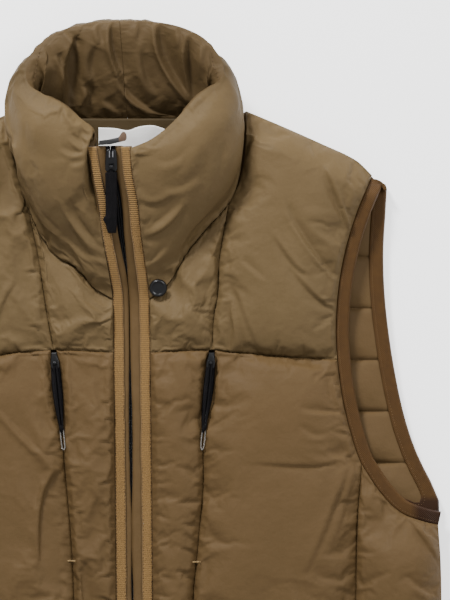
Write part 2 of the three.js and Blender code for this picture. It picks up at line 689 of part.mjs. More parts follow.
function frontMain(sign) {
  const seamTop = princessX(sign, 78.9);
  const outer = armholeX(sign, yokeY(186));
  const edges = {
    bottom: hemLine(princessX(sign, HEM_Y), sign * read(SIDE_PANEL_LINE, 'y', 'x', HEM_Y)),
    top: yokeLine(seamTop + sign * slitHalf(79), outer),
    left: upright(HEM_Y, yokeY(seamTop), (y) => princessX(sign, y) + sign * slitHalf(y)),
    right: upright(HEM_Y, yokeY(outer), (y) => (
      y < ARM_JOINT_Y ? sign * read(SIDE_PANEL_LINE, 'y', 'x', y) : armholeX(sign, y)
    )),
  };
  return frontPanel(`front_main_${sideOf(sign)}`, edges, ['left', 'right', 'top'], LOW_ROWS, crowded(8, TO_SEAMS));
}

function sidePanel(sign) {
  const inner = FRONT_ARM_LOW[0].x;
  const outer = FRONT_ARM_LOW.at(-1).x;
  const edges = {
    bottom: hemLine(sign * SIDE_PANEL_LINE[0].x, sign * SIDE[0].x),
    top: (s) => ({ x: sign * lerp(inner, outer, s), y: read(FRONT_ARM_LOW, 'x', 'y', lerp(inner, outer, s)) }),
    left: upright(HEM_Y, ARM_JOINT_Y, (y) => sign * read(SIDE_PANEL_LINE, 'y', 'x', y)),
    right: upright(HEM_Y, FRONT_ARM_LOW.at(-1).y, (y) => sign * read(SIDE, 'y', 'x', y)),
  };
  return frontPanel(`side_panel_${sideOf(sign)}`, edges, ['left', 'top'], SIDE_ROWS, UNDERARM_COLUMNS);
}

function neckSeam(sign, station) {
  const rows = sign > 0 ? COLLAR_RIGHT : COLLAR_LEFT;
  const turn = degToRad(readStation(rows, 'turn', station));
  return {
    x: readStation(rows, 'sx', station) + Math.sin(turn) * COLLAR.seamHalf,
    y: readStation(rows, 'sy', station),
  };
}

function yokeInner(sign) {
  const seamLow = princessX(sign, 79.1);
  const corner = neckSeam(sign, COLLAR.princessStation);
  const edges = {
    bottom: yokeLine(tapeEdge(sign, 77), seamLow),
    top: (s) => neckSeam(sign, COLLAR.princessStation * s),
    left: upright(yokeY(17), neckSeam(sign, 0).y, (y) => tapeEdge(sign, y)),
    right: upright(yokeY(seamLow), corner.y, (y) => princessX(sign, y)),
  };
  return frontPanel(`yoke_inner_${sideOf(sign)}`, edges, ALL_SEAMS, crowded(10, TO_SEAMS), crowded(8, TO_SEAMS));
}

function yokeOuter(sign) {
  const seamLow = princessX(sign, 79.1);
  const corner = neckSeam(sign, COLLAR.princessStation);
  const neckX = NECK_CORNER_X[sideOf(sign)];
  const neckY = read(SHOULDER, 'x', 'y', Math.abs(neckX));
  const outer = armholeX(sign, yokeY(186));
  const tip = armholeX(sign, FRONT_ARM_TOP_Y);
  const tipY = read(SHOULDER, 'x', 'y', Math.abs(tip));
  const edges = {
    bottom: yokeLine(seamLow, outer),
    top: (s) => {
      const x = lerp(neckX, tip, s);
      return { x, y: read(SHOULDER, 'x', 'y', Math.abs(x)) };
    },
    left: upright(yokeY(seamLow), neckY, (y) => (
      y < corner.y ? princessX(sign, y) : read(NECK_SIDE, 'y', sideOf(sign), y)
    )),
    right: upright(yokeY(outer), tipY, (y) => armholeX(sign, y)),
  };
  return frontPanel(`yoke_outer_${sideOf(sign)}`, edges, ['left', 'right', 'bottom'], SHOULDER_ROWS, SHOULDER_COLUMNS);
}

// Back: one padded panel from side seam to side seam, with a row at each quilting line and two between.
function quiltRows() {
  const rows = [HEM_Y, HEM_Y + 5, HEM_Y + HEM_TURN];
  const first = Math.ceil((QUILT.firstY + HEM_TURN - QUILT.lineY) / QUILT.pitch);
  for (let k = first; QUILT.lineY + k * QUILT.pitch < QUILT.lastY; k += 1) {
    for (const part of [0, 0.22, 0.78]) {
      const y = QUILT.lineY + (k + part) * QUILT.pitch;
      if (y > HEM_Y + HEM_TURN + 4 && y < QUILT.lastY) {
        rows.push(y);
      }
    }
  }
  rows.push(PIT_Y - PIT_CUT, PIT_Y - PIT_CUT + 0.6);
  return rows.sort((a, b) => a - b);
}

function backNeckY(x) {
  const away = Math.abs(x - NECK_CENTRE_X) / NECK_BACK.halfWidth;
  const curve = NECK_BACK.y + NECK_BACK.rise * Math.min(away, 1) ** 2;
  return lerp(curve, NECK_BACK.cornerY, clamp((away - 1) / NECK_BACK.cornerShare, 0, 1));
}

function backPanel() {
  const across = crowded(11, 0.3).map((f) => 2 * f - 1);
  const low = [];
  const high = [];
  const addRow = (pointAt) => {
    const points = across.map(pointAt);
    low.push(points.map(({ x, y }) => ({ x, y, z: backUnder(x, y) })));
    high.push(points.map(({ x, y }) => ({ x, y, z: backTop(x, y) })));
  };
  for (const y of quiltRows()) {
    addRow((s) => ({ x: s * backHalfWidth(y), y }));
  }
  const half = backHalfWidth(BACK_ARMHOLE.at(-1).y);
  for (const rise of [0.22, 0.5, 0.78, 1]) {
    addRow((s) => {
      const x = s * lerp(backHalfWidth(QUILT.lastY), half, rise);
      const away = Math.abs(x);
      const onShoulder = x > NECK_CORNER_X.right || x < NECK_CORNER_X.left;
      const top = onShoulder ? read(SHOULDER, 'x', 'y', away) : backNeckY(x);
      return { x, y: lerp(QUILT.lastY, top, rise) };
    });
  }
  return piece('back_panel', FINISH.shell, wall(low, high));
}

// Armhole bindings: a tape folded over the edge, drawn as a rounded band along it.
function band(inner, outer, under, top) {
  const middle = lerp(under, top, 0.5);
  const point = (across, z) => ({ x: lerp(inner.x, outer.x, across), y: lerp(inner.y, outer.y, across), z });
  return [point(0, under), point(0.9, under), point(1, middle), point(0.9, top), point(0, top)];
}

function frontArmPath(sign) {
  const points = [];
  for (const f of UNDERARM_COLUMNS.slice(1).reverse()) {
    const x = lerp(FRONT_ARM_LOW[0].x, FRONT_ARM_LOW.at(-1).x, f);
    points.push(new THREE.Vector2(x, read(FRONT_ARM_LOW, 'x', 'y', x)));
  }
  const steps = 20;
  for (let i = 0; i <= steps; i += 1) {
    const y = lerp(ARM_JOINT_Y, FRONT_ARM_TOP_Y, i / steps);
    points.push(new THREE.Vector2(read(FRONT_ARM_HIGH, 'y', 'x', y), y));
  }
  return points.map((point, i) => {
    const before = points[Math.max(i - 1, 0)];
    const after = points[Math.min(i + 1, points.length - 1)];
    const along = after.clone().sub(before).normalize();
    const out = new THREE.Vector2(along.y, -along.x);
    const inner = point.clone().addScaledVector(out, SEAM_INSET);
    const outer = point.clone().addScaledVector(out, BINDING.width);
    return { inner: { x: sign * inner.x, y: inner.y }, outer: { x: sign * outer.x, y: outer.y } };
  });
}

function frontBinding(sign) {
  const path = frontArmPath(sign);
  const rings = path.map(({ inner, outer }) => {
    const x = (inner.x + outer.x) / 2;
    const y = (inner.y + outer.y) / 2;
    const body = rounded(fromOutline(x, y), FRONT.radius);
    const under = frontUnder(x, y);
    return band(inner, outer, under, under + lerp(FRONT.edgeWall, BINDING.frontWall, body));
  });
  return piece(`armhole_binding_front_${sideOf(sign)}`, FINISH.binding, sleeve(rings));
}

function backBinding(sign) {
  const placed = (point) => ({ x: sign * point.x, y: point.y });
  const rings = backArmPath().map(({ inner, outer }) => (
    band(placed(inner), placed(outer), BINDING.backUnder, BINDING.backTop)
  ));
  return piece(`armhole_binding_back_${sideOf(sign)}`, FINISH.binding, sleeve(rings));
}

// Collar: a padded tube, fat in front and pleated inside at the back.
function collarMiddle(sign, station, v) {
  const rows = sign > 0 ? COLLAR_RIGHT : COLLAR_LEFT;
  const value = (column) => readStation(rows, column, station);
  const point = new THREE.Vector3(
    lerp(value('sx'), value('rx'), v),
    lerp(value('sy'), value('ry'), v),
    lerp(value('sz'), value('rz'), v),
  );
  const hold = Math.max(0, 1 - station / 2) ** 2;
  if (hold > 0) {
    const edgeX = tapeEdge(sign, point.y) + sign * COLLAR.tapeGap;
    const straight = lerp(rows[0].sx, rows[0].rx, v);
    const edgeZ = read(ZIP_LINE, 'y', 'z', point.y) - COLLAR.frontHalf;
    const straightZ = lerp(rows[0].sz, rows[0].rz, v);
    point.x += (edgeX - straight) * hold;
    point.z += (edgeZ - straightZ) * hold;
  }
  return point;
}

function collarNormal(sign, station, v) {
  const last = COLLAR_RIGHT.length - 1;
  const a = collarMiddle(sign, Math.max(station - 0.2, 0), v);
  const b = collarMiddle(sign, Math.min(station + 0.2, last), v);
  const up = collarMiddle(sign, station, Math.min(v + 0.05, 1)).sub(collarMiddle(sign, station, Math.max(v - 0.05, 0)));
  return b.sub(a).cross(up).multiplyScalar(sign).normalize();
}

function collarPoints(sign, station, v) {
  const rows = sign > 0 ? COLLAR_RIGHT : COLLAR_LEFT;
  const value = (column) => readStation(rows, column, station);
  const turn = degToRad(value('turn'));
  const middle = collarMiddle(sign, station, lerp(COLLAR.seamLift, 1, v));
  const edge = new THREE.Vector3(Math.sin(turn), 0, Math.cos(turn));
  const away = collarNormal(sign, station, v).lerp(edge, Math.max(0, 1 - v / 0.16)).normalize();
  away.x *= Math.min(1, station / 2);
  const swell = Math.pow(Math.sin(Math.PI * clamp(v, 0, 1)), 0.7) * snapPress(middle.x, middle.y);
  const half = lerp(COLLAR.seamHalf, COLLAR.rimHalf, v);
  const outer = middle.clone().addScaledVector(away, half + value('out') * swell);
  const inner = middle.clone().addScaledVector(away, -half - value('inside') * swell);
  if (station > COLLAR.backStation) {
    inner.z -= Math.min(troughDepth(COLLAR_PLEATS, inner.x, inner.y), 0.75 * value('inside') * swell);
  }
  outer.z = Math.max(outer.z, 0);
  return { outer, inner };
}

// Two rings to a station in front, three at the back where the pleats are.
function collarStations() {
  const last = COLLAR_RIGHT.length - 1;
  const front = Array.from({ length: COLLAR.backStation * 2 }, (_, i) => i / 2);
  const back = Array.from({ length: (last - COLLAR.backStation) * 3 + 1 }, (_, i) => COLLAR.backStation + i / 3);
  return [...front, ...back];
}

function collar(sign) {
  const under = [];
  const over = [];
  for (const station of collarStations()) {
    const ring = crowded(COLLAR_RINGS, TO_SEAMS).map((v) => collarPoints(sign, station, v));
    under.push(ring.map(({ inner }) => inner));
    over.push(ring.map(({ outer }) => outer));
  }
  return piece(`collar_${sideOf(sign)}`, FINISH.shell, wall(under, over));
}

// Strips that run up the front beside the zip. low and high are measured from the tapes' top.
const STRIP_ROWS = [
  HEM_Y, -372, -362, -300, -230, -150, -75, 0, 50, 90, 112,
  124, 134, 146, 160, 175, 190, 205, 220, 235, 250, ZIP_TOP_Y,
];

function strip(name, finish, near, far, low, high, rows) {
  const rings = rows.map((y) => {
    const zipX = read(ZIP_LINE, 'y', 'x', y);
    const top = read(ZIP_LINE, 'y', 'z', y);
    const rise = (read(ZIP_LINE, 'y', 'z', y + 2) - read(ZIP_LINE, 'y', 'z', y - 2)) / 4;
    const lean = Math.min(Math.atan(rise), degToRad(26));
    const at = (offset, height) => ({
      x: zipX + offset,
      y: y - Math.sin(lean) * height * (y > 100 ? 1 : 0),
      z: top + Math.cos(lean) * height,
    });
    return [at(near(y), low), at(far(y), low), at(far(y), high), at(near(y), high)];
  });
  return piece(name, finish, sleeve(rings));
}

function frontTape(sign) {
  const column = sign > 0 ? 'right' : 'left';
  const near = (y) => sign * read(FRONT_STRIPS, 'y', `${column}In`, y);
  const far = (y) => sign * read(FRONT_STRIPS, 'y', `${column}Out`, y);
  return strip(`front_tape_${column}`, FINISH.ochre, near, far, -TAPE.thick, 0, STRIP_ROWS);
}

function zipFlange(sign) {
  const column = sign > 0 ? 'right' : 'left';
  const top = -TAPE.thick - SEATED;
  const near = (y) => sign * read(FRONT_STRIPS, 'y', 'slit', y) / 2;
  const far = (y) => sign * (read(FRONT_STRIPS, 'y', `${column}Out`, y) - SEATED);
  return strip(`zip_flange_${column}`, FINISH.shell, near, far, top - TAPE.flangeThick, top, STRIP_ROWS);
}

function zipTape(sign) {
  const top = -TAPE.thick - SEATED - TAPE.flangeThick - SEATED;
  const rows = STRIP_ROWS.filter((y) => y > ZIP_BOTTOM_Y);
  const near = () => sign * 0.15;
  const far = () => sign * 11;
  return strip(`zip_tape_${sideOf(sign)}`, FINISH.blackTape, near, far, top - TAPE.blackThick, top, rows);
}

// Facing and label: thin sheets that lie on the back panel's crest.
function sheetOn(name, finish, columns, rows, edges, rise, thick) {
  const low = [];
  const high = [];
  for (const t of crowded(rows, 0)) {
    const points = crowded(columns, 0).map((s) => {
      const x = lerp(edges.left, edges.right, s);
      const y = lerp(edges.bottom(x), edges.top(x), t);
      return { x, y, z: BACK.crestTop + rise };
    });
    low.push(points);
    high.push(points.map((point) => ({ ...point, z: point.z + thick })));
  }
  return piece(name, finish, wall(low, high));
}

function facing() {
  const edges = {
    left: NECK_CENTRE_X - FACING.halfWidth,
    right: NECK_CENTRE_X + FACING.halfWidth,
    bottom: (x) => FACING.bottom + 10 * ((x - NECK_CENTRE_X) / FACING.halfWidth) ** 2,
    top: () => FACING.top,
  };
  return sheetOn('back_neck_facing', FINISH.shell, 12, 3, edges, SEATED, FACING.thick);
}

function label() {
  const edges = {
    left: LABEL_TOP[0].x,
    right: LABEL_TOP.at(-1).x,
    bottom: () => LABEL.bottom,
    top: (x) => read(LABEL_TOP, 'x', 'y', x),
  };
  return sheetOn('neck_label', FINISH.label, 10, 2, edges, 2 * SEATED + FACING.thick, LABEL.thick);
}

function outlineShape(rows) {
  return new THREE.Shape(rows.map(({ x, y }) => new THREE.Vector2(x, y)));
}

function chinGuard() {
  const curve = new THREE.CatmullRomCurve3(GUARD_END.map(({ x, y }) => new THREE.Vector3(x, y, 0)), true);
  const shape = new THREE.Shape(curve.getSpacedPoints(26).slice(1).map((p) => new THREE.Vector2(p.x, p.y)));
  const geometry = new THREE.ExtrudeGeometry(shape, { depth: GUARD.thick, bevelEnabled: false });
  const guard = piece('chin_guard', FINISH.binding, joined([geometry]));
  guard.position.z = GUARD.z;
  return guard;
}

function snapCap() {
  const profile = SNAP_PROFILE.map(({ r, z }) => new THREE.Vector2(r, z));
  const geometry = new THREE.LatheGeometry(profile, 28).rotateX(Math.PI / 2);
  const snap = piece('snap_cap', FINISH.blackMetal, joined([geometry]));
  snap.position.set(SNAP.x, SNAP.y, SNAP.z);
  snap.rotation.x = degToRad(SNAP.tilt);
  return snap;
}

function crossBar(radius, length, y, z) {
  return new THREE.CylinderGeometry(radius, radius, length, BAR.sides).rotateZ(Math.PI / 2).translate(0, y, z);
}

// A slider's plate with two ears that hold the bar, and two bright prongs towards the top.
function sliderGeometry(outline, sizes, earGap) {
  const plate = new THREE.ExtrudeGeometry(outlineShape(outline), { depth: sizes.thick, bevelEnabled: false });
  const earHeight = sizes.barZ + 1.4 - sizes.thick / 2;
  const ears = [-1, 1].map((sign) => new THREE.BoxGeometry(1, 3.4, earHeight)
    .translate(sign * (earGap + 0.5), sizes.barY, sizes.thick / 2 + earHeight / 2));
  const prongs = [-1, 1].map((sign) => new THREE.BoxGeometry(1, 5.6, 1.6)
    .translate(sign * 1.5, outline[0].y - 4, sizes.thick + 0.4));
  return joined([plate, ...ears, ...prongs, crossBar(BAR.radius, 2 * earGap + 1, sizes.barY, sizes.barZ)]);
}

// A flat pull with a bored eye at its top, made about the bar it turns on.
function pullGeometry(outline, thick, eyeWidth) {
  const strap = new THREE.ExtrudeGeometry(outlineShape(outline), { depth: thick, bevelEnabled: false })
    .translate(0, -BAR.bore - 0.2, -thick / 2);
  const half = eyeWidth / 2;
  const ringProfile = [
    new THREE.Vector2(BAR.bore, -half),
    new THREE.Vector2(BAR.eye, -half),
    new THREE.Vector2(BAR.eye, half),
    new THREE.Vector2(BAR.bore, half),
    new THREE.Vector2(BAR.bore, -half),
  ];
  const ring = new THREE.LatheGeometry(ringProfile, BAR.sides).rotateZ(Math.PI / 2);
  return joined([strap, ring]);
}

function mainSliderFrame() {
  const frame = new THREE.Group();
  const { y, rise, slope } = MAIN_SLIDER;
  frame.position.set(read(ZIP_LINE, 'y', 'x', y), y, read(ZIP_LINE, 'y', 'z', y) + rise);
  frame.rotation.x = degToRad(slope);
  return frame;
}

function mainSlider() {
  const frame = mainSliderFrame();
  const { barY, barZ } = MAIN_SLIDER;
  frame.add(piece('zip_slider', FINISH.blackMetal, sliderGeometry(MAIN_SLIDER_OUTLINE, MAIN_SLIDER, 1.8)));
  const pull = piece('zip_pull', FINISH.strap, pullGeometry(MAIN_STRAP_OUTLINE, MAIN_PULL.thick, 2.8));
  pull.position.set(0, barY, barZ);
  pull.rotation.x = degToRad(MAIN_PULL.slope - MAIN_SLIDER.slope);
  frame.add(pull);
  return frame;
}

function pocketZip(sign) {
  const rings = [];
  for (const y of FRONT_HEIGHTS.filter((height) => height > POCKET_LOW_Y && height < POCKET_TOP_Y)) {
    const half = Math.max(slitHalf(y) - SEATED + SEAM_INSET, 0.2);
    const x = princessX(sign, y);
    const { low, high } = POCKET_ZIP;
    rings.push([
      { x: x - half, y, z: low },
      { x: x + half, y, z: low },
      { x: x + half, y, z: high },
      { x: x - half, y, z: high },
    ]);
  }
  return piece(`pocket_zip_${sideOf(sign)}`, FINISH.blackTape, sleeve(rings));
}

function pocketSlider(sign) {
  const frame = new THREE.Group();
  const { y, z, barY, barZ } = POCKET_SLIDER;
  const side = sideOf(sign);
  frame.position.set(princessX(sign, y), y, z);
  frame.rotation.z = degToRad(-sign * POCKET_PULL.turn);
  const slider = sliderGeometry(POCKET_SLIDER_OUTLINE, POCKET_SLIDER, 1.5);
  frame.add(piece(`pocket_slider_${side}`, FINISH.blackMetal, slider));
  const pull = piece(`pocket_pull_${side}`, FINISH.strap, pullGeometry(POCKET_STRAP_OUTLINE, POCKET_PULL.thick, 2.4));
  pull.position.set(0, barY, barZ);
  pull.rotation.x = degToRad(POCKET_PULL.slope);
  frame.add(pull);
  return frame;
}

function vest() {
  const group = new THREE.Group();
  group.add(backPanel());
  for (const sign of [-1, 1]) {
    group.add(
      collar(sign),
      yokeInner(sign),
      yokeOuter(sign),
      frontCentre(sign),
      frontMain(sign),
      sidePanel(sign),
      frontTape(sign),
      zipFlange(sign),
      zipTape(sign),
      frontBinding(sign),
      backBinding(sign),
      pocketZip(sign),
      pocketSlider(sign),
    );
  }
  group.add(facing(), label(), chinGuard(), snapCap(), mainSlider());
  return group;
}

export default vest();
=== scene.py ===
import bpy
import numpy as np
from mathutils import Matrix, Vector, noise


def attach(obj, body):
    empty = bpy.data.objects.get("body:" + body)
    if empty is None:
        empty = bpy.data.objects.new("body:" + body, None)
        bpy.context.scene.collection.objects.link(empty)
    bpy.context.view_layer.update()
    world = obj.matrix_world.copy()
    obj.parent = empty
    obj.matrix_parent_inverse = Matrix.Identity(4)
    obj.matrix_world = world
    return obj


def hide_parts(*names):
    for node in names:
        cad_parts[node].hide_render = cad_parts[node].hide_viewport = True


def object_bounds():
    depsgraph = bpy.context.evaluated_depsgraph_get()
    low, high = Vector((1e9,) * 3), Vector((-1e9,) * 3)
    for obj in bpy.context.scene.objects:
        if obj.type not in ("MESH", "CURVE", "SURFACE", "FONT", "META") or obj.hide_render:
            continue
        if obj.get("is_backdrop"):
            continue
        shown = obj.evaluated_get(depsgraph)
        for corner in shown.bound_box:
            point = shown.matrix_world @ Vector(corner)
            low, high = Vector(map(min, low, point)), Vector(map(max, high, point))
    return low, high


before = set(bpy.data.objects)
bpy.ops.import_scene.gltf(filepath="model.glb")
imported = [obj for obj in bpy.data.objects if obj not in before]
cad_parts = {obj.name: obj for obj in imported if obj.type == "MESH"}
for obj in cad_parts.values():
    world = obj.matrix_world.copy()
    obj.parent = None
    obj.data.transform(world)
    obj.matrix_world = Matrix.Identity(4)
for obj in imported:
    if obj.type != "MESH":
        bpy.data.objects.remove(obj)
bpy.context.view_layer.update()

# Camera, table and light. The vest lies on a plain white table and is seen from straight above
# through a long lens, under wide soft lamps, the brighter one beyond its upper left corner.
FRAME_HEIGHT = 0.540
FRAME_CENTRE = (0.0855, 0.1251, 0.030)
LENS = 400
HALF_SENSOR = 18
TABLE_GLOW = 1.2
eye = bpy.data.cameras.new("eye")
eye.lens = LENS
eye.sensor_width = 2 * HALF_SENSOR
eye.clip_end = 20
camera = bpy.data.objects.new("camera", eye)
bpy.context.collection.objects.link(camera)
camera.location = (*FRAME_CENTRE[:2], FRAME_CENTRE[2] + FRAME_HEIGHT / 2 * LENS / HALF_SENSOR)
bpy.context.scene.camera = camera

bpy.ops.mesh.primitive_plane_add(size=8, location=(0, 0, -0.0004))
floor = bpy.context.object
floor.name = "floor"
paper = bpy.data.materials.new("paper")
paper.use_nodes = True
paper.node_tree.nodes["Principled BSDF"].inputs["Base Color"].default_value = (0.95, 0.95, 0.95, 1)
paper.node_tree.nodes["Principled BSDF"].inputs["Roughness"].default_value = 0.9
paper.node_tree.nodes["Principled BSDF"].inputs["Emission Color"].default_value = (1, 1, 1, 1)
paper.node_tree.nodes["Principled BSDF"].inputs["Emission Strength"].default_value = TABLE_GLOW
floor.data.materials.append(paper)
floor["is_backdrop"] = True

room = bpy.data.worlds.new("room")
room.use_nodes = True
room.node_tree.nodes["Background"].inputs["Color"].default_value = (1, 1, 1, 1)
room.node_tree.nodes["Background"].inputs["Strength"].default_value = 0.69
bpy.context.scene.world = room


def lamp(name, place, size, power):
    light = bpy.data.lights.new(name, "AREA")
    light.shape = "DISK"
    light.size = size
    light.energy = power
    holder = bpy.data.objects.new(name, light)
    bpy.context.collection.objects.link(holder)
    holder.location = place
    holder.rotation_euler = (Vector((0.06, 0.1, 0)) - Vector(place)).to_track_quat("-Z", "Y").to_euler()


lamp("key_lamp", (-0.7, 1.8, 1.3), 0.5, 80)
lamp("fill_lamp", (1.5, 1.0, 1.7), 1.2, 28)

# Back. One padded panel of brown nylon from side seam to side seam, quilted crosswise, with a plain
# turned hem. It lies flat on the table; only its upper face shows, in the neck and the armholes.
MM = 0.001
HEM_Y = -379.0
PIT_Y = -66.6
SEAM_INSET = 0.12
BACK_EDGE_RISE = 4.5
BACK_EDGE_TOP = 9.4
BACK_LINE_TOP = 10.2
BACK_CREST_TOP = 16.5
BACK_ROUND = 34
QUILT_PITCH = 46.5
QUILT_LINE_Y = 71
QUILT_LAST_Y = 204
QUILT_ROWS = 14
QUILT_GROOVE = 1.8
BINDING_WIDTH = 12


def table(names, *rows):
    """Named columns of a table of sizes in millimetres."""
    return dict(zip(names.split(), np.array(rows, float).T))


side = table("y x", (HEM_Y, 279), (-250, 279.6), (-145, 280.8), (-109, 280), (-77, 278), (PIT_Y, 278.6))
shoulder = table("x y", (103.5, 296.1), (135, 282.6), (171, 266.4), (202.5, 251.1), (217.8, 236.6), (230, 226))
back_armhole = table(
    "y x", (PIT_Y, 278.6), (-47.7, 275.4), (-14.4, 259.2), (17.1, 248.4), (57.6, 239.4), (98.1, 233.1),
    (134.1, 229.5), (170.1, 228.6), (201.6, 230.4), (226, 231.8),
)


def read(rows, key, column, value):
    """A smooth line through a table's rows, read at values of its key column."""
    keys, sizes = rows[key], rows[column]
    value = np.clip(value, keys[0], keys[-1])
    before = np.clip(np.arange(len(keys)) - 1, 0, None)
    after = np.clip(np.arange(len(keys)) + 1, None, len(keys) - 1)
    slope = (sizes[after] - sizes[before]) / (keys[after] - keys[before])
    i = np.clip(np.searchsorted(keys, value) - 1, 0, len(keys) - 2)
    span = keys[i + 1] - keys[i]
    f = (value - keys[i]) / span
    rise = sizes[i] + (sizes[i + 1] - sizes[i]) * f * f * (3 - 2 * f)
    return rise + slope[i] * span * f * (1 - f) ** 2 - slope[i + 1] * span * f * f * (1 - f)


def rounded(distance, radius):
    """Quarter-round rise from 0 at an edge to 1 at the radius."""
    return np.sin(np.pi / 2 * np.clip(distance / radius, 0, 1))


def lerp(low, high, f):
    return low + (high - low) * f


def from_outline(x, y):
    """Distance in from the vest's hem, side and shoulder."""
    away = np.maximum(np.abs(x), shoulder["x"][0])
    slope = (shoulder["y"][3] - shoulder["y"][1]) / (shoulder["x"][3] - shoulder["x"][1])
    level = read(shoulder, "x", "y", away) - slope * (away - np.abs(x))
    edges = [read(side, "y", "x", y) - np.abs(x), y - HEM_Y, (level - y) / np.hypot(1, slope)]
    return np.maximum(0, np.minimum.reduce(edges))


def ripple(x, y, size, seed):
    """Soft even noise over the cloth, about -1 to 1."""
    flat = np.stack(np.broadcast_arrays(x, y), -1).reshape(-1, 2) / size
    values = [noise.noise((a, b, seed * 7.31)) for a, b in flat]
    return np.array(values).reshape(np.broadcast(x, y).shape) * 1.6


def wall_faces(rows, columns):
    """Faces of a closed wall between an upper and an under grid of points."""
    index = np.arange(2 * rows * columns).reshape(2, rows, columns)
    over, under = index[0], index[1]
    top = np.stack([over[:-1, :-1], over[:-1, 1:], over[1:, 1:], over[1:, :-1]], -1).reshape(-1, 4)
    low = np.stack([under[:-1, :-1], under[1:, :-1], under[1:, 1:], under[:-1, 1:]], -1).reshape(-1, 4)
    loop = np.concatenate([index[:, 0, :], index[:, 1:, -1], index[:, -1, -2::-1], index[:, -2:0:-1, 0]], 1)
    following = np.roll(loop, -1, axis=1)
    rim = np.stack([loop[0], loop[1], following[1], following[0]], -1)
    return np.concatenate([top, low, rim])


def add_piece(name, points, faces, finish, body="vest", slot="shell_fabric"):
    """A smooth mesh from points in millimetres, riding on a body and finished with a material."""
    mesh = bpy.data.meshes.new(name)
    mesh.from_pydata((np.asarray(points).reshape(-1, 3) * MM).tolist(), [], np.asarray(faces).tolist())
    mesh.validate()
    mesh.polygons.foreach_set("use_smooth", [True] * len(mesh.polygons))
    made = bpy.data.objects.new(name, mesh)
    bpy.context.collection.objects.link(made)
    turn_out(made)
    made.data.materials.append(finish)
    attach(made, body)
    return made


def turn_out(made):
    """Turns a closed mesh right side out."""
    mesh = made.data
    mesh.calc_loop_triangles()
    corners = np.empty(len(mesh.vertices) * 3)
    mesh.vertices.foreach_get("co", corners)
    tri = np.empty(len(mesh.loop_triangles) * 3, int)
    mesh.loop_triangles.foreach_get("vertices", tri)
    a, b, c = corners.reshape(-1, 3)[tri.reshape(-1, 3)].transpose(1, 0, 2)
    if np.einsum("ij,ij->i", a, np.cross(b, c)).sum() < 0:
        mesh.flip_normals()


def add_wall(name, over, under, finish, **place):
    rows, columns = over.shape[:2]
    return add_piece(name, np.stack([over, under]), wall_faces(rows, columns), finish, **place)


class Wire:
    """A socket of a shader tree that can be used in Python sums."""

    def __init__(self, tree, socket=None):
        self.tree = tree
        self.socket = socket

    def node(self, kind, settings=(), out=0, **sockets):
        """Adds a node: its settings first, then values or wires by socket name or place (_0, _1)."""
        made = self.tree.nodes.new(kind)
        for name, value in dict(settings).items():
            setattr(made, name, value)
        for name, value in sockets.items():
            key = int(name[1:]) if name[1:].isdigit() else name.replace("_", " ").title()
            if isinstance(value, Wire):
                self.tree.links.new(value.socket, made.inputs[key])
            else:
                made.inputs[key].default_value = value
        return Wire(self.tree, made.outputs[out])

    def math(self, operation, *values):
        places = {f"_{i}": value for i, value in enumerate(values)}
        return self.node("ShaderNodeMath", {"operation": operation}, **places)

    def __add__(self, other):
        return self.math("ADD", self, other)

    def __sub__(self, other):
        return self.math("SUBTRACT", self, other)

    def __mul__(self, other):
        return self.math("MULTIPLY", self, other)

    def __pow__(self, other):
        return self.math("POWER", self, other)

    def __rsub__(self, other):
        return self.math("SUBTRACT", other, self)

    __radd__ = __add__
    __rmul__ = __mul__

    def sine(self):
        return self.math("SINE", self)

    def between(self, low, high):
        return self.math("MINIMUM", self.math("MAXIMUM", self, low), high)

    def noise(self, scale, detail=2.0, rough=0.5):
        """Cloudy noise about 0.5 at a number of lumps to the metre."""
        where = self.node("ShaderNodeTexCoord", out=3)
        return self.node("ShaderNodeTexNoise", Vector=where, Scale=scale, Detail=detail, Roughness=rough)

    def ridges(self, scale, detail):
        """Noise that folds into sharp crests, as crinkled cloth does."""
        where = self.node("ShaderNodeTexCoord", out=3)
        settings = {"noise_type": "RIDGED_MULTIFRACTAL"}
        return self.node("ShaderNodeTexNoise", settings, Vector=where, Scale=scale, Detail=detail, Roughness=0.45)

    def place(self, axis):
        where = self.node("ShaderNodeTexCoord", out=3)
        return self.node("ShaderNodeSeparateXYZ", out="XYZ".index(axis), Vector=where)

    def blend(self, share, first, second):
        """A colour between two, by a share from 0 to 1."""
        settings = {"data_type": "RGBA"}
        return self.node("ShaderNodeMix", settings, out=2, _0=share, _6=first, _7=second)

    def bump(self, height, distance, strength=1.0):
        return self.node("ShaderNodeBump", Height=height, Distance=distance, Strength=strength)


def srgb(red, green, blue):
    """A colour as it is seen, 0 to 255, as light."""
    seen = np.array([red, green, blue]) / 255
    light = np.where(seen > 0.04045, ((seen + 0.055) / 1.055) ** 2.4, seen / 12.92)
    return (*light.tolist(), 1.0)


def finish(name, sockets, surface):
    """A material: sockets set plainly, then a function that wires what varies over the surface."""
    made = bpy.data.materials.new(name)
    made.use_nodes = True
    shader = made.node_tree.nodes["Principled BSDF"]
    for key, value in sockets.items():
        shader.inputs[key].default_value = value
    for key, wire in surface(Wire(made.node_tree)).items():
        made.node_tree.links.new(wire.socket, shader.inputs[key])
    return made


def nylon_surface(wire, dark=(77, 60, 36), light=(92, 72, 46)):
    """Fine plain weave, faintly clouded where the padding shows through, with small soft crumples."""
    clouds = wire.noise(16, 3, 0.6)
    mottle = wire.noise(260, 3, 0.65)
    share = clouds * 0.6 + mottle * 0.4
    colour = wire.blend(share, srgb(*dark), srgb(*light))
    weave = wire.noise(2200, 1, 0.5)
    crumple = wire.noise(75, 3, 0.55)
    crinkle = wire.ridges(38, 3) * (clouds * 3 - 1.1).between(0, 1)
    relief = weave * 0.10 + crumple * 0.7 + crinkle * 0.9
    return {
        "Base Color": colour,
        "Roughness": 0.54 + mottle * 0.12,
        "Normal": wire.bump(relief, 0.0011),
    }


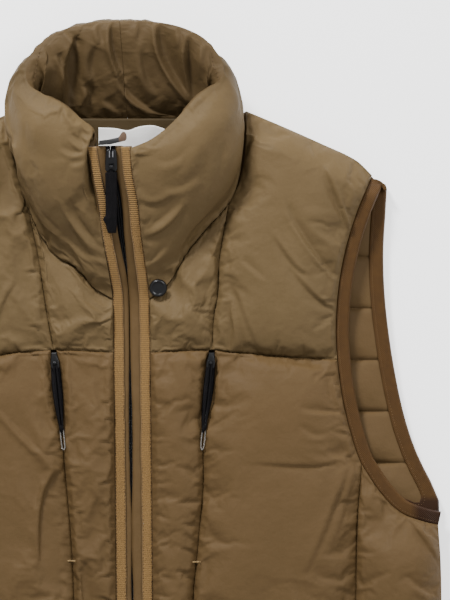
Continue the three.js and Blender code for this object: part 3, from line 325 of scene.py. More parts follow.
NYLON_GLOSS = {"Specular IOR Level": 0.12}
nylon = finish("brown_nylon", NYLON_GLOSS, nylon_surface)


def back_arm_path():
    """Outer and inner edges of the back binding, from the pit to the shoulder tip."""
    y = np.linspace(PIT_Y + 1.2, back_armhole["y"][-1], 23)
    slope = (read(back_armhole, "y", "x", y + 1) - read(back_armhole, "y", "x", y - 1)) / 2
    shift = BINDING_WIDTH / np.hypot(1, slope)
    x = read(back_armhole, "y", "x", y)
    return np.stack([x, y], -1), np.stack([x - shift, y + slope * shift], -1)


PIT_CUT_Y = PIT_Y - 1.6
arm_inner = back_arm_path()[1]


def back_half_width(y):
    upper = np.interp(y, arm_inner[:, 1], arm_inner[:, 0]) - 2 * SEAM_INSET
    return np.where(y <= PIT_CUT_Y, read(side, "y", "x", y), upper)


def back_edge(x, y):
    to_arm = np.where(y > PIT_Y, np.maximum(0, back_half_width(y) - np.abs(x)), BACK_ROUND)
    return np.minimum(from_outline(x, y), to_arm)


def back_top(x, y):
    line = (y - QUILT_LINE_Y) / QUILT_PITCH
    away = np.abs(line - np.round(line))
    pucker = 0.5 + 0.5 * np.cos(x / 3.3 + 2.5 * ripple(x, y, 30, 1))
    near = np.exp(-((away * QUILT_PITCH / 9) ** 2))
    channel = np.where(y < QUILT_LAST_Y, np.sin(np.pi * away) ** 0.6, 1)
    crest = lerp(BACK_LINE_TOP, BACK_CREST_TOP - 0.8, channel) - 1.1 * pucker * near * np.sqrt(channel)
    top = lerp(BACK_EDGE_TOP, crest + 0.7 * ripple(x, y, 24, 2) * channel, rounded(back_edge(x, y), BACK_ROUND))
    groove = QUILT_GROOVE * np.exp(-((away * QUILT_PITCH / 1.3) ** 2)) * (y < QUILT_LAST_Y)
    return np.minimum(top, BACK_CREST_TOP) - groove * (0.7 + 0.3 * pucker)


NECK_CENTRE_X = -3.5
NECK_BACK_Y = 287.4
neck_corner = {1: 104.4, -1: 111.6}


def back_neck_y(x):
    away = np.abs(x - NECK_CENTRE_X) / 99
    curve = NECK_BACK_Y + 1.2 * np.minimum(away, 1) ** 2
    return lerp(curve, 295.6, np.clip((away - 1) / 0.085, 0, 1))


crowded = (1 - np.cos(np.pi * np.arange(QUILT_ROWS) / QUILT_ROWS)) / 2
channels = np.arange(np.floor((HEM_Y - QUILT_LINE_Y) / QUILT_PITCH), (QUILT_LAST_Y - QUILT_LINE_Y) // QUILT_PITCH + 1)
quilt_rows = (QUILT_LINE_Y + (channels[:, None] + crowded) * QUILT_PITCH).ravel()
quilt_rows = quilt_rows[(quilt_rows > HEM_Y + 2.5) & (quilt_rows < QUILT_LAST_Y - 1)]
low_rows = np.sort(np.concatenate([[HEM_Y, HEM_Y + 1.2, PIT_CUT_Y, PIT_CUT_Y + 0.6], quilt_rows]))
across = np.sin(np.linspace(-1, 1, 121) * 1.2) / np.sin(1.2)
low_half = back_half_width(low_rows)[:, None]
low_x = across[None] * low_half
low_y = np.repeat(low_rows[:, None], len(across), 1)
rise = np.linspace(0, 1, 22)[:, None]
high_x = across[None] * lerp(back_half_width(QUILT_LAST_Y), back_half_width(226.0), rise)
on_shoulder = (high_x > neck_corner[1]) | (high_x < -neck_corner[-1])
neck_y = np.where(on_shoulder, read(shoulder, "x", "y", np.abs(high_x)), back_neck_y(high_x))
high_y = lerp(QUILT_LAST_Y, neck_y, rise)
back_x, back_y = np.concatenate([low_x, high_x]), np.concatenate([low_y, high_y])
back_over = np.stack([back_x, back_y, back_top(back_x, back_y)], -1)
back_low = BACK_EDGE_RISE * (1 - rounded(back_edge(back_x, back_y), 12))
back_panel = add_wall("back_cloth", back_over, np.stack([back_x, back_y, back_low], -1), nylon)
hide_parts("back_panel")

# Back neck facing and label. A plain strip of the same nylon covers the neck seam inside, and a
# white satin rectangle, left bare, is sewn on it.
FACING_HALF = 76
FACING_TOP = 288.8
FACING_LOW = 236
FACING_Z = 16.8
FACING_THICK = 1.6
LABEL_LOW = 242
LABEL_THICK = 0.6
label_top = table("x y", (-28.5, 280.6), (-14, 280), (-2, 278.2), (8, 281.4), (20, 282.6), (31, 279.6))


def laid_sheet(name, left, right, low_at, top_at, z_at, thick, material, slot):
    """A thin sheet laid flat, from its left and right sides and its lower and upper edge lines."""
    x = np.repeat(np.linspace(left, right, 61)[None], 25, 0)
    y = lerp(low_at(x), top_at(x), np.linspace(0, 1, 25)[:, None])
    z = z_at(x, y)
    over = np.stack([x, y, z + thick], -1)
    return add_wall(name, over, np.stack([x, y, z], -1), material, slot=slot)


# Painted shadow: the facing takes a darker copy of the same nylon, for the collar's shade over the strip.
painted_shade_facing_cloth = finish("facing_nylon_painted_shade", NYLON_GLOSS, lambda wire: nylon_surface(wire, (52, 41, 23), (64, 52, 31)))
facing = laid_sheet(
    "neck_facing", NECK_CENTRE_X - FACING_HALF, NECK_CENTRE_X + FACING_HALF,
    lambda x: FACING_LOW + 10 * ((x - NECK_CENTRE_X) / FACING_HALF) ** 2, lambda x: FACING_TOP + 0 * x,
    lambda x, y: FACING_Z + 0.25 + 0.25 * ripple(x, y, 18, 3), FACING_THICK, painted_shade_facing_cloth, "shell_fabric",
)
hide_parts("back_neck_facing")


def satin_surface(wire):
    threads = (wire.place("Y") * 5200).sine()
    haze = wire.noise(90, 2)
    return {
        "Base Color": wire.blend(haze, srgb(214, 212, 208), srgb(226, 224, 221)),
        "Roughness": 0.42 + haze * 0.1,
        "Normal": wire.bump(threads, 0.00002),
    }


satin = finish("white_satin", {"Sheen Weight": 0.2}, satin_surface)
label = laid_sheet(
    "blank_label", label_top["x"][0], label_top["x"][-1], lambda x: LABEL_LOW + 0 * x,
    lambda x: read(label_top, "x", "y", x),
    lambda x, y: FACING_Z + FACING_THICK + 0.8 + 0.5 * ripple(x, y, 14, 4), LABEL_THICK, satin, "white_label",
)
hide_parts("neck_label")

# Fronts. Six body panels and four yoke pieces of the same nylon over light padding, seamed together
# so that each swells between its seams and puckers along them. These tables are the sewing lines.
FRONT_EDGE_UNDER = 10.4
FRONT_UNDER = 19
FRONT_EDGE_WALL = 4.5
FRONT_SEAM_WALL = 8.5
FRONT_LOFT = 12
SNAP_X, SNAP_Y, SNAP_Z = 25.4, 136.2, 32.6
ARM_JOINT_Y = -23.4
GRID = 1.9

arm_low = table("x y", (208.8, -23.4), (225, -47.7), (243, -65.7), (265.5, -74.7), (278, -77.6))
arm_high = table(
    "y x", (-47.7, 225), (-23.4, 208.8), (8.1, 198), (39.6, 190.8), (75.6, 186.3), (102.6, 185.4),
    (138.6, 188.1), (171.9, 194.4), (204.3, 204.3), (240.3, 219.5),
)
zip_line = table(
    "y x z", (HEM_Y, 3.5, 17.4), (-362, 3.3, 24.4), (-145, 2, 25.6), (8, 0.5, 25.6), (110, -0.7, 25.8),
    (130, -1.2, 28), (150, -3.2, 36), (181, -7.4, 49), (213, -10.6, 61), (238, -15, 68.5), (264, -17.4, 73),
)
strips = table(
    "y slit left_in left_out right_in right_out",
    (HEM_Y, 0.3, 5.2, 14.5, 9.2, 18.5), (-180, 0.3, 5.2, 14.5, 9.2, 18.5), (-132, 1.8, 5.2, 14.5, 9.2, 18.5),
    (-100, 0.2, 5.2, 14.5, 9.2, 18.5), (-70, 0.2, 5.2, 14.5, 9.2, 18.5), (-30, 2.4, 5.2, 14.5, 9.2, 18.5),
    (27, 3.0, 5.2, 14.5, 9.2, 18.5), (70, 1.2, 5.2, 14.5, 9.2, 18.5),
    (125, 0.6, 5.4, 14.6, 9.2, 18.5), (142, 0.8, 6.2, 15.1, 9.2, 18.5), (170, 4.0, 7.9, 16.4, 9.3, 18.4),
    (200, 6.4, 9.5, 17.4, 9.4, 18.2), (245, 7, 10.8, 18.2, 9.6, 17.8),
    (264, 9, 12.4, 21.6, 9.8, 17.6),
)
princess = table(
    "y right left", (HEM_Y, 54, 52), (-260, 55, 51), (-145, 56.9, 50.6), (-90, 61.7, 53.2),
    (-40, 65.9, 57.6), (6, 65.9, 61.6), (42, 70.2, 65.2), (79, 73.6, 68.8), (110, 75.4, 74.4),
    (129, 78.6, 77.4), (163, 80.6, 82.6), (191, 85, 88.2), (207, 88, 91.8), (212, 88.6, 92.8),
)
yoke_line = table("x y", (0, 77), (40, 79), (70, 80), (100, 77.5), (130, 74.6), (190, 71.4))
side_panel_line = table("y x", (HEM_Y, 201), (-145, 203.4), (-71, 205), (-23.4, 208.8))
pocket_slit = table("y half", (2, 0), (20, 3), (42, 4.6), (62, 4.2), (79, 2.6))
neck_side = table(
    "y right left", (207, 86.8, 91.8), (211.5, 88.6, 93.2), (230, 98, 98.8), (254, 102.8, 105.2),
    (275, 104.2, 110), (297, 104.4, 111.6),
)
SEAM_TO_RIM = "sx sy sz rx ry rz turn out inside"
collar_line = {
    1: table(
        SEAM_TO_RIM,
        (17.9, 125.4, 23, 1.2, 261, 66, 0, 3, 2), (34.9, 139.6, 23, 17, 267.5, 68, 2, 13, 4),
        (51.3, 167.4, 23, 32, 278, 69, 5, 21, 5), (66, 186.5, 23, 46, 291.5, 69, 10, 24, 5),
        (87.4, 211.5, 23, 60, 307, 67, 18, 24, 5), (95.2, 230, 23, 72, 315.5, 63, 26, 21, 5),
        (98.4, 256, 22.5, 81.5, 322.5, 57, 45, 14, 9), (97.4, 279, 19.5, 84, 333, 52, 85, 8, 15),
        (92, 290, 14.5, 79, 346, 48, 125, 8, 17), (77, 290.5, 11, 66, 360.5, 45, 155, 10, 14),
        (58, 289.6, 10, 48, 369.5, 43, 170, 14, 11), (36, 288.6, 10, 30, 374, 41.5, 180, 15, 9),
        (16, 288, 10, 11, 375.8, 41, 180, 15, 9), (-2.4, 288, 10, -8.9, 376.2, 41, 180, 15, 9),
    ),
    -1: table(
        SEAM_TO_RIM,
        (-16, 125.4, 23, -39.2, 262, 66, 0, 3, 2), (-29.6, 134, 23, -31, 276, 68, -2, 16.5, 4),
        (-48, 153.4, 23, -44, 288, 69, -5, 22, 5), (-71, 171.4, 23, -58, 299.5, 69, -10, 24, 5),
        (-90.6, 207, 23, -70, 306, 67, -18, 24, 5), (-96, 230, 23, -81, 311.5, 63, -26, 20, 5),
        (-101.4, 254, 22.5, -91, 319.5, 57, -45, 14, 9), (-104.2, 279, 19.5, -93, 333, 52, -85, 8, 15),
        (-99.6, 290.4, 14.5, -88, 346, 48, -125, 8, 17), (-84, 290.5, 11, -74.5, 360.5, 45, -155, 10, 14),
        (-64, 289.6, 10, -57, 369, 43, -170, 14, 11), (-42, 288.6, 10, -38, 373.8, 41.5, -180, 15, 9),
        (-21, 288, 10, -22, 375.8, 41, -180, 15, 9), (-2.6, 288, 10, -9.1, 376.2, 41, -180, 15, 9),
    ),
}
COLLAR_SEAM_HALF = 4
PRINCESS_STATION = 4

# Creases on the fronts: each bends through a middle point. On its right hand it falls sharply within
# near, beside a soft roll of height ridge; on its left it comes back up gently within far.
creases = table(
    "x0 y0 x1 y1 x2 y2 near far deep ridge",
    (142, 210, 160, 176, 187, 146, 1.9, 7, 4.2, 1.2), (198, 179, 184, 215, 171, 246, 1.9, 7, 4.8, 1.4),
    (158, 148, 146, 156, 129, 181, 1.8, 6, 3.0, 0.8), (188, 114, 166, 127, 143, 153, 1.8, 6, 3.2, 0.8),
    (91, 136, 100, 96, 103.5, 81, 1.8, 5, 2.0, 0.7), (114.3, 81, 106, 102, 93, 134, 1.8, 5, 1.8, 0.6),
    (102.6, 162, 110, 155, 121.5, 145, 2, 5, 1.5, 0.5), (197, 234, 202, 226, 204.3, 215, 1.8, 4, 1.8, 0.6),
    (153, 27, 172, 25, 191.7, 27, 2.2, 6, 1.5, 0.5), (190.8, -23.4, 152, -26, 115, -23.4, 2.4, 7, 1.6, 0.6),
    (153.9, 11.7, 164, 4, 174.6, 3.6, 2, 5, 1.5, 0.5), (201, -15, 187, -58, 161, -121, 2.6, 8, 2.0, 1.2), (205, -22, 199, -52, 184, -96, 2.4, 8, 1.8, 1.0),
    (226.8, -53, 229, -62, 230.4, -71, 2, 5, 2.0, 0.6), (279, -118, 261, -90, 247.5, -73, 2.4, 7, 2.4, 1.0),
    (250, -122.4, 262, -134, 275.4, -140.4, 2.2, 6, 1.8, 0.8), (84, -246, 102, -288, 128, -322, 3, 9, 2.0, 0.8),
    (150, -128, 166, -176, 196, -210, 3, 9, 2.0, 0.8), (96, 20, 104, -40, 98, -96, 5, 12, 1.0, 0.4),
    (214, -160, 230, -190, 262, -214, 2.6, 8, 1.8, 0.8), (30, -60, 38, -110, 36, -170, 4, 9, 1.0, 0.4),
    (-56.7, 109.8, -68, 108, -73.8, 118.8, 2, 5, 2.0, 0.8), (-117, 29.7, -96, 6, -68.4, -19.8, 2.6, 8, 2.0, 0.8),
    (-61.2, -29.7, -75, -56, -77.4, -107, 2.6, 7, 2.4, 1.0), (-150, 212, -160, 178, -184, 150, 2.6, 8, 2.8, 1.0),
    (-198, 188, -186, 212, -176, 240, 2.4, 7, 3.2, 1.2), (-128, 172, -140, 150, -160, 140, 2.4, 7, 2.0, 0.8),
    (-150, 24, -170, 22, -190, 29, 2.2, 6, 1.5, 0.6), (-196, -22, -190, -44, -180, -74, 2.6, 8, 2.8, 1.2),
    (-264, -150, -238, -112, -224, -84, 2.6, 8, 2.2, 1.0), (-142, -140, -160, -186, -192, -222, 3, 9, 2.0, 0.8),
    (-90, -262, -102, -300, -126, -330, 3, 9, 2.2, 0.8), (-100, 140, -112, 120, -120, 92, 2.4, 7, 1.6, 0.6),
    (-30, -80, -38, -120, -32, -180, 4, 9, 1.0, 0.4),
)


CREASE_STEPS = 36


def crease_relief(rows, x, y):
    """Height that a table of creases gives the cloth at points seen from above."""
    height = np.zeros(np.shape(x))
    t = np.linspace(0, 1, CREASE_STEPS + 1)[:, None]
    for x0, y0, x1, y1, x2, y2, near, far, deep, ridge in np.stack(list(rows.values()), -1):
        start, middle, end = np.array((x0, y0)), np.array((x1, y1)), np.array((x2, y2))
        path = (1 - t) ** 2 * start + t ** 2 * end + 2 * t * (1 - t) * (2 * middle - (start + end) / 2)
        close = (np.abs(x - x1) < np.ptp(path[:, 0]) + 30) & (np.abs(y - y1) < np.ptp(path[:, 1]) + 30)
        gap = np.stack([x[close], y[close]], -1)[:, None] - path[None]
        closest = np.argmin((gap ** 2).sum(-1), 1)
        along = np.gradient(path, axis=0)[closest]
        away = gap[np.arange(len(gap)), closest]
        left = (along[:, 0] * away[:, 1] - along[:, 1] * away[:, 0]) / np.hypot(*along.T)
        past_end = (closest == 0) | (closest == CREASE_STEPS)
        left = np.where(past_end, np.where(left > 0, 1, -1) * np.hypot(*away.T), left)
        ahead = np.clip((along * away).sum(-1) / (along ** 2).sum(-1), -0.5, 0.5)
        fade = np.sin(np.pi * np.clip((closest + ahead) / CREASE_STEPS, 0, 1)) ** 0.6
        trough = np.where(left > 0, np.exp(-((np.abs(left) / far) ** 1.4)), np.exp(-((left / near) ** 2)))
        roll = np.exp(-(((left + 2.1 * near) / (1.5 * near)) ** 2))
        height[close] += (ridge * roll - deep * trough) * (0.15 + 0.85 * fade)
    return height


def snap_press(x, y):
    return 1 - np.exp(-((np.hypot(x - SNAP_X, y - SNAP_Y) / 19) ** 3))


def front_under(x, y):
    return lerp(FRONT_EDGE_UNDER, FRONT_UNDER, rounded(from_outline(x, y), 26))


def front_top(x, y, puff, seam):
    """Top of a front panel: puff is 0 at a seam and 1 in the middle, seam the distance to the nearest one."""
    body = rounded(from_outline(x, y), 26)
    edge_wall = lerp(FRONT_EDGE_WALL, FRONT_SEAM_WALL, body)
    loft = FRONT_LOFT * puff * lerp(0.35, 1, body) * snap_press(x, y)
    slack = np.minimum(1, loft / 5)
    relief = crease_relief(creases, x, y) * slack + 0.8 * ripple(x, y, 55, 5) * slack
    pinch = 1.2 * np.exp(-((seam / 1.3) ** 2))
    return front_under(x, y) + edge_wall + loft + np.maximum(relief, -0.8 * loft) - pinch


SEAM_ROUND = {"left": 6, "right": 6, "top": 13, "bottom": 13}


def puffed(distance, near):
    return 0.34 * rounded(distance, near) + 0.66 * rounded(distance, 46)


def tape_edge(sign, y):
    offset = read(strips, "y", "right_out" if sign > 0 else "left_out", y)
    return read(zip_line, "y", "x", y) + sign * offset


def side_of(sign):
    return "right" if sign > 0 else "left"


def princess_x(sign, y):
    return sign * read(princess, "y", side_of(sign), y)


def slit_half(y):
    return np.where(y > pocket_slit["y"][0], np.maximum(0, read(pocket_slit, "y", "half", y)), 0)


def yoke_y(x):
    return read(yoke_line, "x", "y", np.abs(x))


def armhole_x(sign, y):
    return sign * read(arm_high, "y", "x", y)


def line(x, y):
    return np.stack(np.broadcast_arrays(x, y), -1).astype(float)


def across_line(start, end, y_at):
    return lambda s: line(lerp(start, end, s), y_at(lerp(start, end, s)))


def up_line(low, high, x_at):
    return lambda t: line(x_at(lerp(low, high, t)), lerp(low, high, t))


def station_value(rows, column, station):
    """A collar table read smoothly at a fractional row number."""
    size = rows[column]
    i = np.minimum(np.floor(station).astype(int), len(size) - 2)
    f = station - i
    before, after = size[np.maximum(i - 1, 0)], size[np.minimum(i + 2, len(size) - 1)]
    rise = size[i] + (size[i + 1] - size[i]) * f * f * (3 - 2 * f)
    return rise + (size[i + 1] - before) / 2 * f * (1 - f) ** 2 - (after - size[i]) / 2 * f * f * (1 - f)


def neck_seam(sign, station):
    station = np.asarray(station, float)
    rows = collar_line[sign]
    turn = np.radians(station_value(rows, "turn", station))
    x = station_value(rows, "sx", station) + np.sin(turn) * COLLAR_SEAM_HALF
    return line(x, station_value(rows, "sy", station))


def fractions(length):
    """Even grid lines about GRID apart, with one more close to each end for the pinched seam."""
    steps = max(4, int(round(length / GRID)))
    even = np.linspace(0, 1, steps + 1)
    close = 1.1 / length
    return np.concatenate([[0, close], even[1:-1], [1 - close, 1]])


def length_of(points):
    return np.linalg.norm(np.diff(points, axis=0), axis=1).sum()


def patch(bottom, top, left, right):
    """Grid of a panel between its four edge lines, and each point's distance to each edge."""
    ends = np.linspace(0, 1, 33)
    s = fractions(max(length_of(bottom(ends)), length_of(top(ends))))
    t = fractions(max(length_of(left(ends)), length_of(right(ends))))
    b, u, l, r = bottom(s), top(s), left(t), right(t)
    s, t = s[None, :, None], t[:, None, None]
    corners = lerp(lerp(b[0], b[-1], s), lerp(u[0], u[-1], s), t)
    points = lerp(b[None], u[None], t) + lerp(l[:, None], r[:, None], s) - corners
    wide, long = (r - l)[:, None], (u - b)[None]
    wide_size, long_size = np.linalg.norm(wide, axis=-1), np.linalg.norm(long, axis=-1)
    points = points + wide / wide_size[..., None] * SEAM_INSET * (1 - 2 * s)
    points = points + long / long_size[..., None] * SEAM_INSET * (1 - 2 * t)
    reach = {
        "left": s[..., 0] * wide_size, "right": (1 - s[..., 0]) * wide_size,
        "bottom": t[..., 0] * long_size, "top": (1 - t[..., 0]) * long_size,
    }
    return points, reach


def front_sheet(edges, seams):
    """Upper and under grids of one padded front panel, and how far each point is from a sewn edge."""
    points, reach = patch(*edges)
    x, y = points[..., 0], points[..., 1]
    puff = np.prod([puffed(reach[edge], SEAM_ROUND[edge]) for edge in seams], axis=0)
    seam = np.minimum.reduce([np.broadcast_to(reach[edge], x.shape) for edge in seams])
    rim = np.minimum.reduce([np.broadcast_to(reach[edge], x.shape) for edge in reach])
    over = np.stack([x, y, front_top(x, y, puff, seam)], -1)
    under = np.stack([x, y, front_under(x, y)], -1)
    return {"over": over, "under": under, "seam": seam, "rim": rim}


def puckers(path, seed):
    """Short creases that a row of stitches draws into the cloth, uneven in length, depth and spacing."""
    draw = np.random.default_rng(seed)
    run = np.concatenate([[0], np.cumsum(np.linalg.norm(np.diff(path, axis=0), axis=1))])
    at = np.cumsum(draw.uniform(*PUCKER_GAP, int(run[-1] / np.mean(PUCKER_GAP))))
    start, ahead = [np.stack([np.interp(at + shift, run, path[:, i]) for i in (0, 1)], -1) for shift in (0, 1)]
    ahead = ahead - start
    turn = np.arctan2(ahead[:, 1], ahead[:, 0]) + draw.choice((-1, 1), len(at)) * draw.uniform(0.8, 2.0, len(at))
    end = start + draw.uniform(*PUCKER_LONG, (len(at), 1)) * np.stack([np.cos(turn), np.sin(turn)], -1)
    middle = (start + end) / 2 + draw.normal(0, 0.9, start.shape)
    deep = draw.uniform(*PUCKER_DEEP, (len(at), 1))
    return np.concatenate([start, middle, end, 1.5 + 0 * deep, 3.4 + 0 * deep, deep, 0.45 * deep], 1)


PUCKER_GAP = (4, 13)
PUCKER_LONG = (5, 16)
PUCKER_DEEP = (0.4, 1.3)
stitched = []
for sign in (-1, 1):
    upper_y, lower_y = np.linspace(84, 205, 40), np.linspace(HEM_Y, 0, 90)
    body_y, arm_y = np.linspace(HEM_Y, ARM_JOINT_Y, 90), np.linspace(ARM_JOINT_Y, 230, 70)
    zip_y, across_x = np.linspace(HEM_Y, 120, 120), np.linspace(20, 186, 60)
    stitched += [
        line(princess_x(sign, upper_y), upper_y), line(princess_x(sign, lower_y), lower_y),
        line(sign * read(side_panel_line, "y", "x", body_y), body_y), line(armhole_x(sign, arm_y), arm_y),
        line(tape_edge(sign, zip_y), zip_y), line(sign * across_x, yoke_y(across_x)),
    ]
drawn_in = np.concatenate([puckers(path, seed) for seed, path in enumerate(stitched)])
creases = {name: np.concatenate([creases[name], drawn_in[:, i]]) for i, name in enumerate(creases)}

sheets = {}
SEAM_TOP_Y = 79.0
for sign in (-1, 1):
    seam_x = princess_x(sign, SEAM_TOP_Y)
    arm_x = armhole_x(sign, yoke_y(186.0))
    corner = neck_seam(sign, PRINCESS_STATION)
    tip_x = armhole_x(sign, 234.0)
    tip_y = read(shoulder, "x", "y", np.abs(tip_x))
    neck_x = sign * neck_corner[sign]
    neck_top_y = read(shoulder, "x", "y", np.abs(neck_x))
    hem = lambda x: HEM_Y + 0 * x
    sheets[f"front_centre_{side_of(sign)}"] = front_sheet((
        across_line(tape_edge(sign, HEM_Y), princess_x(sign, HEM_Y), hem),
        across_line(tape_edge(sign, 77.0), seam_x - sign * slit_half(SEAM_TOP_Y), yoke_y),
        up_line(HEM_Y, yoke_y(17.0), lambda y: tape_edge(sign, y)),
        up_line(HEM_Y, yoke_y(seam_x), lambda y: princess_x(sign, y) - sign * slit_half(y)),
    ), ("left", "right", "top"))
    sheets[f"front_main_{side_of(sign)}"] = front_sheet((
        across_line(princess_x(sign, HEM_Y), sign * side_panel_line["x"][0], hem),
        across_line(seam_x + sign * slit_half(SEAM_TOP_Y), arm_x, yoke_y),
        up_line(HEM_Y, yoke_y(seam_x), lambda y: princess_x(sign, y) + sign * slit_half(y)),
        up_line(HEM_Y, yoke_y(arm_x), lambda y: np.where(
            y < ARM_JOINT_Y, sign * read(side_panel_line, "y", "x", y), armhole_x(sign, y)
        )),
    ), ("left", "right", "top"))
    sheets[f"side_panel_{side_of(sign)}"] = front_sheet((
        across_line(sign * side_panel_line["x"][0], sign * side["x"][0], hem),
        across_line(sign * arm_low["x"][0], sign * arm_low["x"][-1], lambda x: read(arm_low, "x", "y", np.abs(x))),
        up_line(HEM_Y, ARM_JOINT_Y, lambda y: sign * read(side_panel_line, "y", "x", y)),
        up_line(HEM_Y, arm_low["y"][-1], lambda y: sign * read(side, "y", "x", y)),
    ), ("left", "top"))
    sheets[f"yoke_inner_{side_of(sign)}"] = front_sheet((
        across_line(tape_edge(sign, 77.0), seam_x, yoke_y),
        lambda s: neck_seam(sign, PRINCESS_STATION * s),
        up_line(yoke_y(17.0), neck_seam(sign, 0.0)[1], lambda y: tape_edge(sign, y)),
        up_line(yoke_y(seam_x), corner[1], lambda y: princess_x(sign, y)),
    ), ("left", "right", "top", "bottom"))
    sheets[f"yoke_outer_{side_of(sign)}"] = front_sheet((
        across_line(seam_x, arm_x, yoke_y),
        across_line(neck_x, tip_x, lambda x: read(shoulder, "x", "y", np.abs(x))),
        up_line(yoke_y(seam_x), neck_top_y, lambda y: np.where(
            y < corner[1], princess_x(sign, y), sign * read(neck_side, "y", side_of(sign), y)
        )),
        up_line(yoke_y(arm_x), tip_y, lambda y: armhole_x(sign, y)),
    ), ("left", "right", "bottom"))

# Collar. Two padded halves of the same nylon, joined at the centre back and at the zip, gathered into
# the neck seam. The front halves fall outward in fat lobes; inside, the back is pleated by the gathers.
COLLAR_RIM_HALF = 3.2
COLLAR_ROLL = 0.3
COLLAR_FRONT_HALF = 3.4
COLLAR_BACK_STATION = 8
COLLAR_SEAM_LIFT = 0.004
COLLAR_TAPE_GAP = 0.2
COLLAR_ALONG = 1.8
COLLAR_UP = 90
collar_creases = table(
    "x0 y0 x1 y1 x2 y2 near far deep ridge",
    (40, 216, 24, 208, 8, 212, 2.0, 6, 2.2, 1.2), (12, 188, 28, 194, 46, 210, 2.0, 7, 2.8, 1.6),
    (52, 206, 34, 186, 14, 178, 2.0, 6, 2.2, 1.2), (10, 160, 22, 162, 34, 172, 2.0, 6, 2.4, 1.2),
    (14, 148, 30, 152, 50, 166, 2.2, 8, 3.0, 1.4), (8, 196, 14, 194, 22, 196, 1.8, 4, 1.4, 0.8),
    (58, 190, 66, 214, 68, 246, 5, 12, 1.4, 0.9), (40, 236, 52, 252, 58, 276, 4, 10, 1.2, 0.8),
    (78, 222, 84, 240, 86, 262, 4, 9, 1.2, 0.8), (-54, 204, -42, 186, -20, 166, 2.0, 7, 3.0, 1.5),
    (-31, 198, -38, 214, -41, 226, 2.0, 6, 2.6, 1.2), (-36, 166, -28, 162, -20, 162, 1.8, 5, 2.0, 0.9),
    (-32, 262, -35, 280, -41, 294, 2.0, 7, 3.0, 1.5), (-60, 182, -44, 168, -26, 152, 2.4, 8, 2.2, 1.2),
    (-90, 226, -64, 184, -29, 152, 4, 12, 1.6, 1.2), (-64, 222, -41, 190, -24, 162, 3, 10, 1.6, 1.2),
    (-96, 292, -94, 270, -90, 256, 3, 8, 1.2, 0.6), (-36, 296, -43, 276, -38, 262, 2.2, 8, 2.6, 1.4),
    (30, 226, 46, 226, 62, 236, 3, 9, 1.4, 0.9), (24, 250, 40, 250, 52, 262, 3, 9, 1.2, 0.8),
    (-54, 298, -45, 286, -34, 277, 1.8, 5, 3.0, 1.6), (-48, 284, -40, 274, -31, 268, 1.8, 4, 2.6, 1.6),
    (-52, 274, -45, 267, -36, 263, 1.8, 5, 3.0, 1.6), (-60, 262, -50, 257, -40, 258, 1.8, 5, 2.2, 1.2),
    (-52, 248, -44, 248, -37, 252, 1.8, 4, 1.8, 1.0),
)
collar_pleats = table(
    "x0 y0 x1 y1 x2 y2 near far deep ridge",
    (-47, 360, -55, 332, -55, 300, 1.9, 12, 11.0, 4.0), (-15, 374, -15, 350, -4, 322, 1.8, 12, 7.5, 3.2),
    (-64, 345, -58, 332, -50, 306, 1.8, 8, 4.0, 2.0), (-58, 366, -50, 360, -46, 352, 1.8, 7, 3.4, 1.8),
    (-40, 318, -36, 308, -44, 296, 2.0, 11, 7.0, 2.6), (-30, 352, -34, 336, -30, 322, 3, 9, 3.2, 1.8),
    (-9, 326, 8, 303, 43, 291, 1.8, 10, 6.0, 3.0), (27, 375, 31, 342, 57, 303, 1.9, 13, 10.0, 4.0),
    (54, 360, 51, 340, 57.6, 304, 1.8, 9, 7.0, 3.0), (8, 374, 9, 366, 7, 358, 1.8, 5, 2.6, 1.4),
    (12, 346, 16, 326, 26, 312, 3, 10, 3.4, 2.0), (44, 366, 46, 358, 44, 348, 1.8, 5, 3.0, 1.6),
    (70, 352, 66, 338, 68, 322, 2, 7, 3.4, 1.8), (-76, 352, -72, 344, -74, 334, 2, 7, 3.2, 1.6),
    (-26, 374, -27, 366, -24, 356, 1.8, 6, 3.0, 1.6), (-22, 306, -16, 300, -6, 293, 2, 7, 3.4, 1.8),
)


def collar_middle(sign, station, v):
    """Middle of the collar's wall: a ruled sheet from seam to rim, held to the zip at the front."""
    rows = collar_line[sign]
    value = lambda column: station_value(rows, column, station)
    point = np.stack(np.broadcast_arrays(
        lerp(value("sx"), value("rx"), v), lerp(value("sy"), value("ry"), v), lerp(value("sz"), value("rz"), v)
    ), -1)
    hold = np.maximum(0, 1 - station / 2) ** 2
    edge_x = tape_edge(sign, point[..., 1]) + sign * COLLAR_TAPE_GAP
    edge_z = read(zip_line, "y", "z", point[..., 1]) - COLLAR_FRONT_HALF
    straight_x = lerp(rows["sx"][0], rows["rx"][0], v)
    straight_z = lerp(rows["sz"][0], rows["rz"][0], v)
    point[..., 0] += (edge_x - straight_x) * hold
    point[..., 2] += (edge_z - straight_z) * hold
    return point


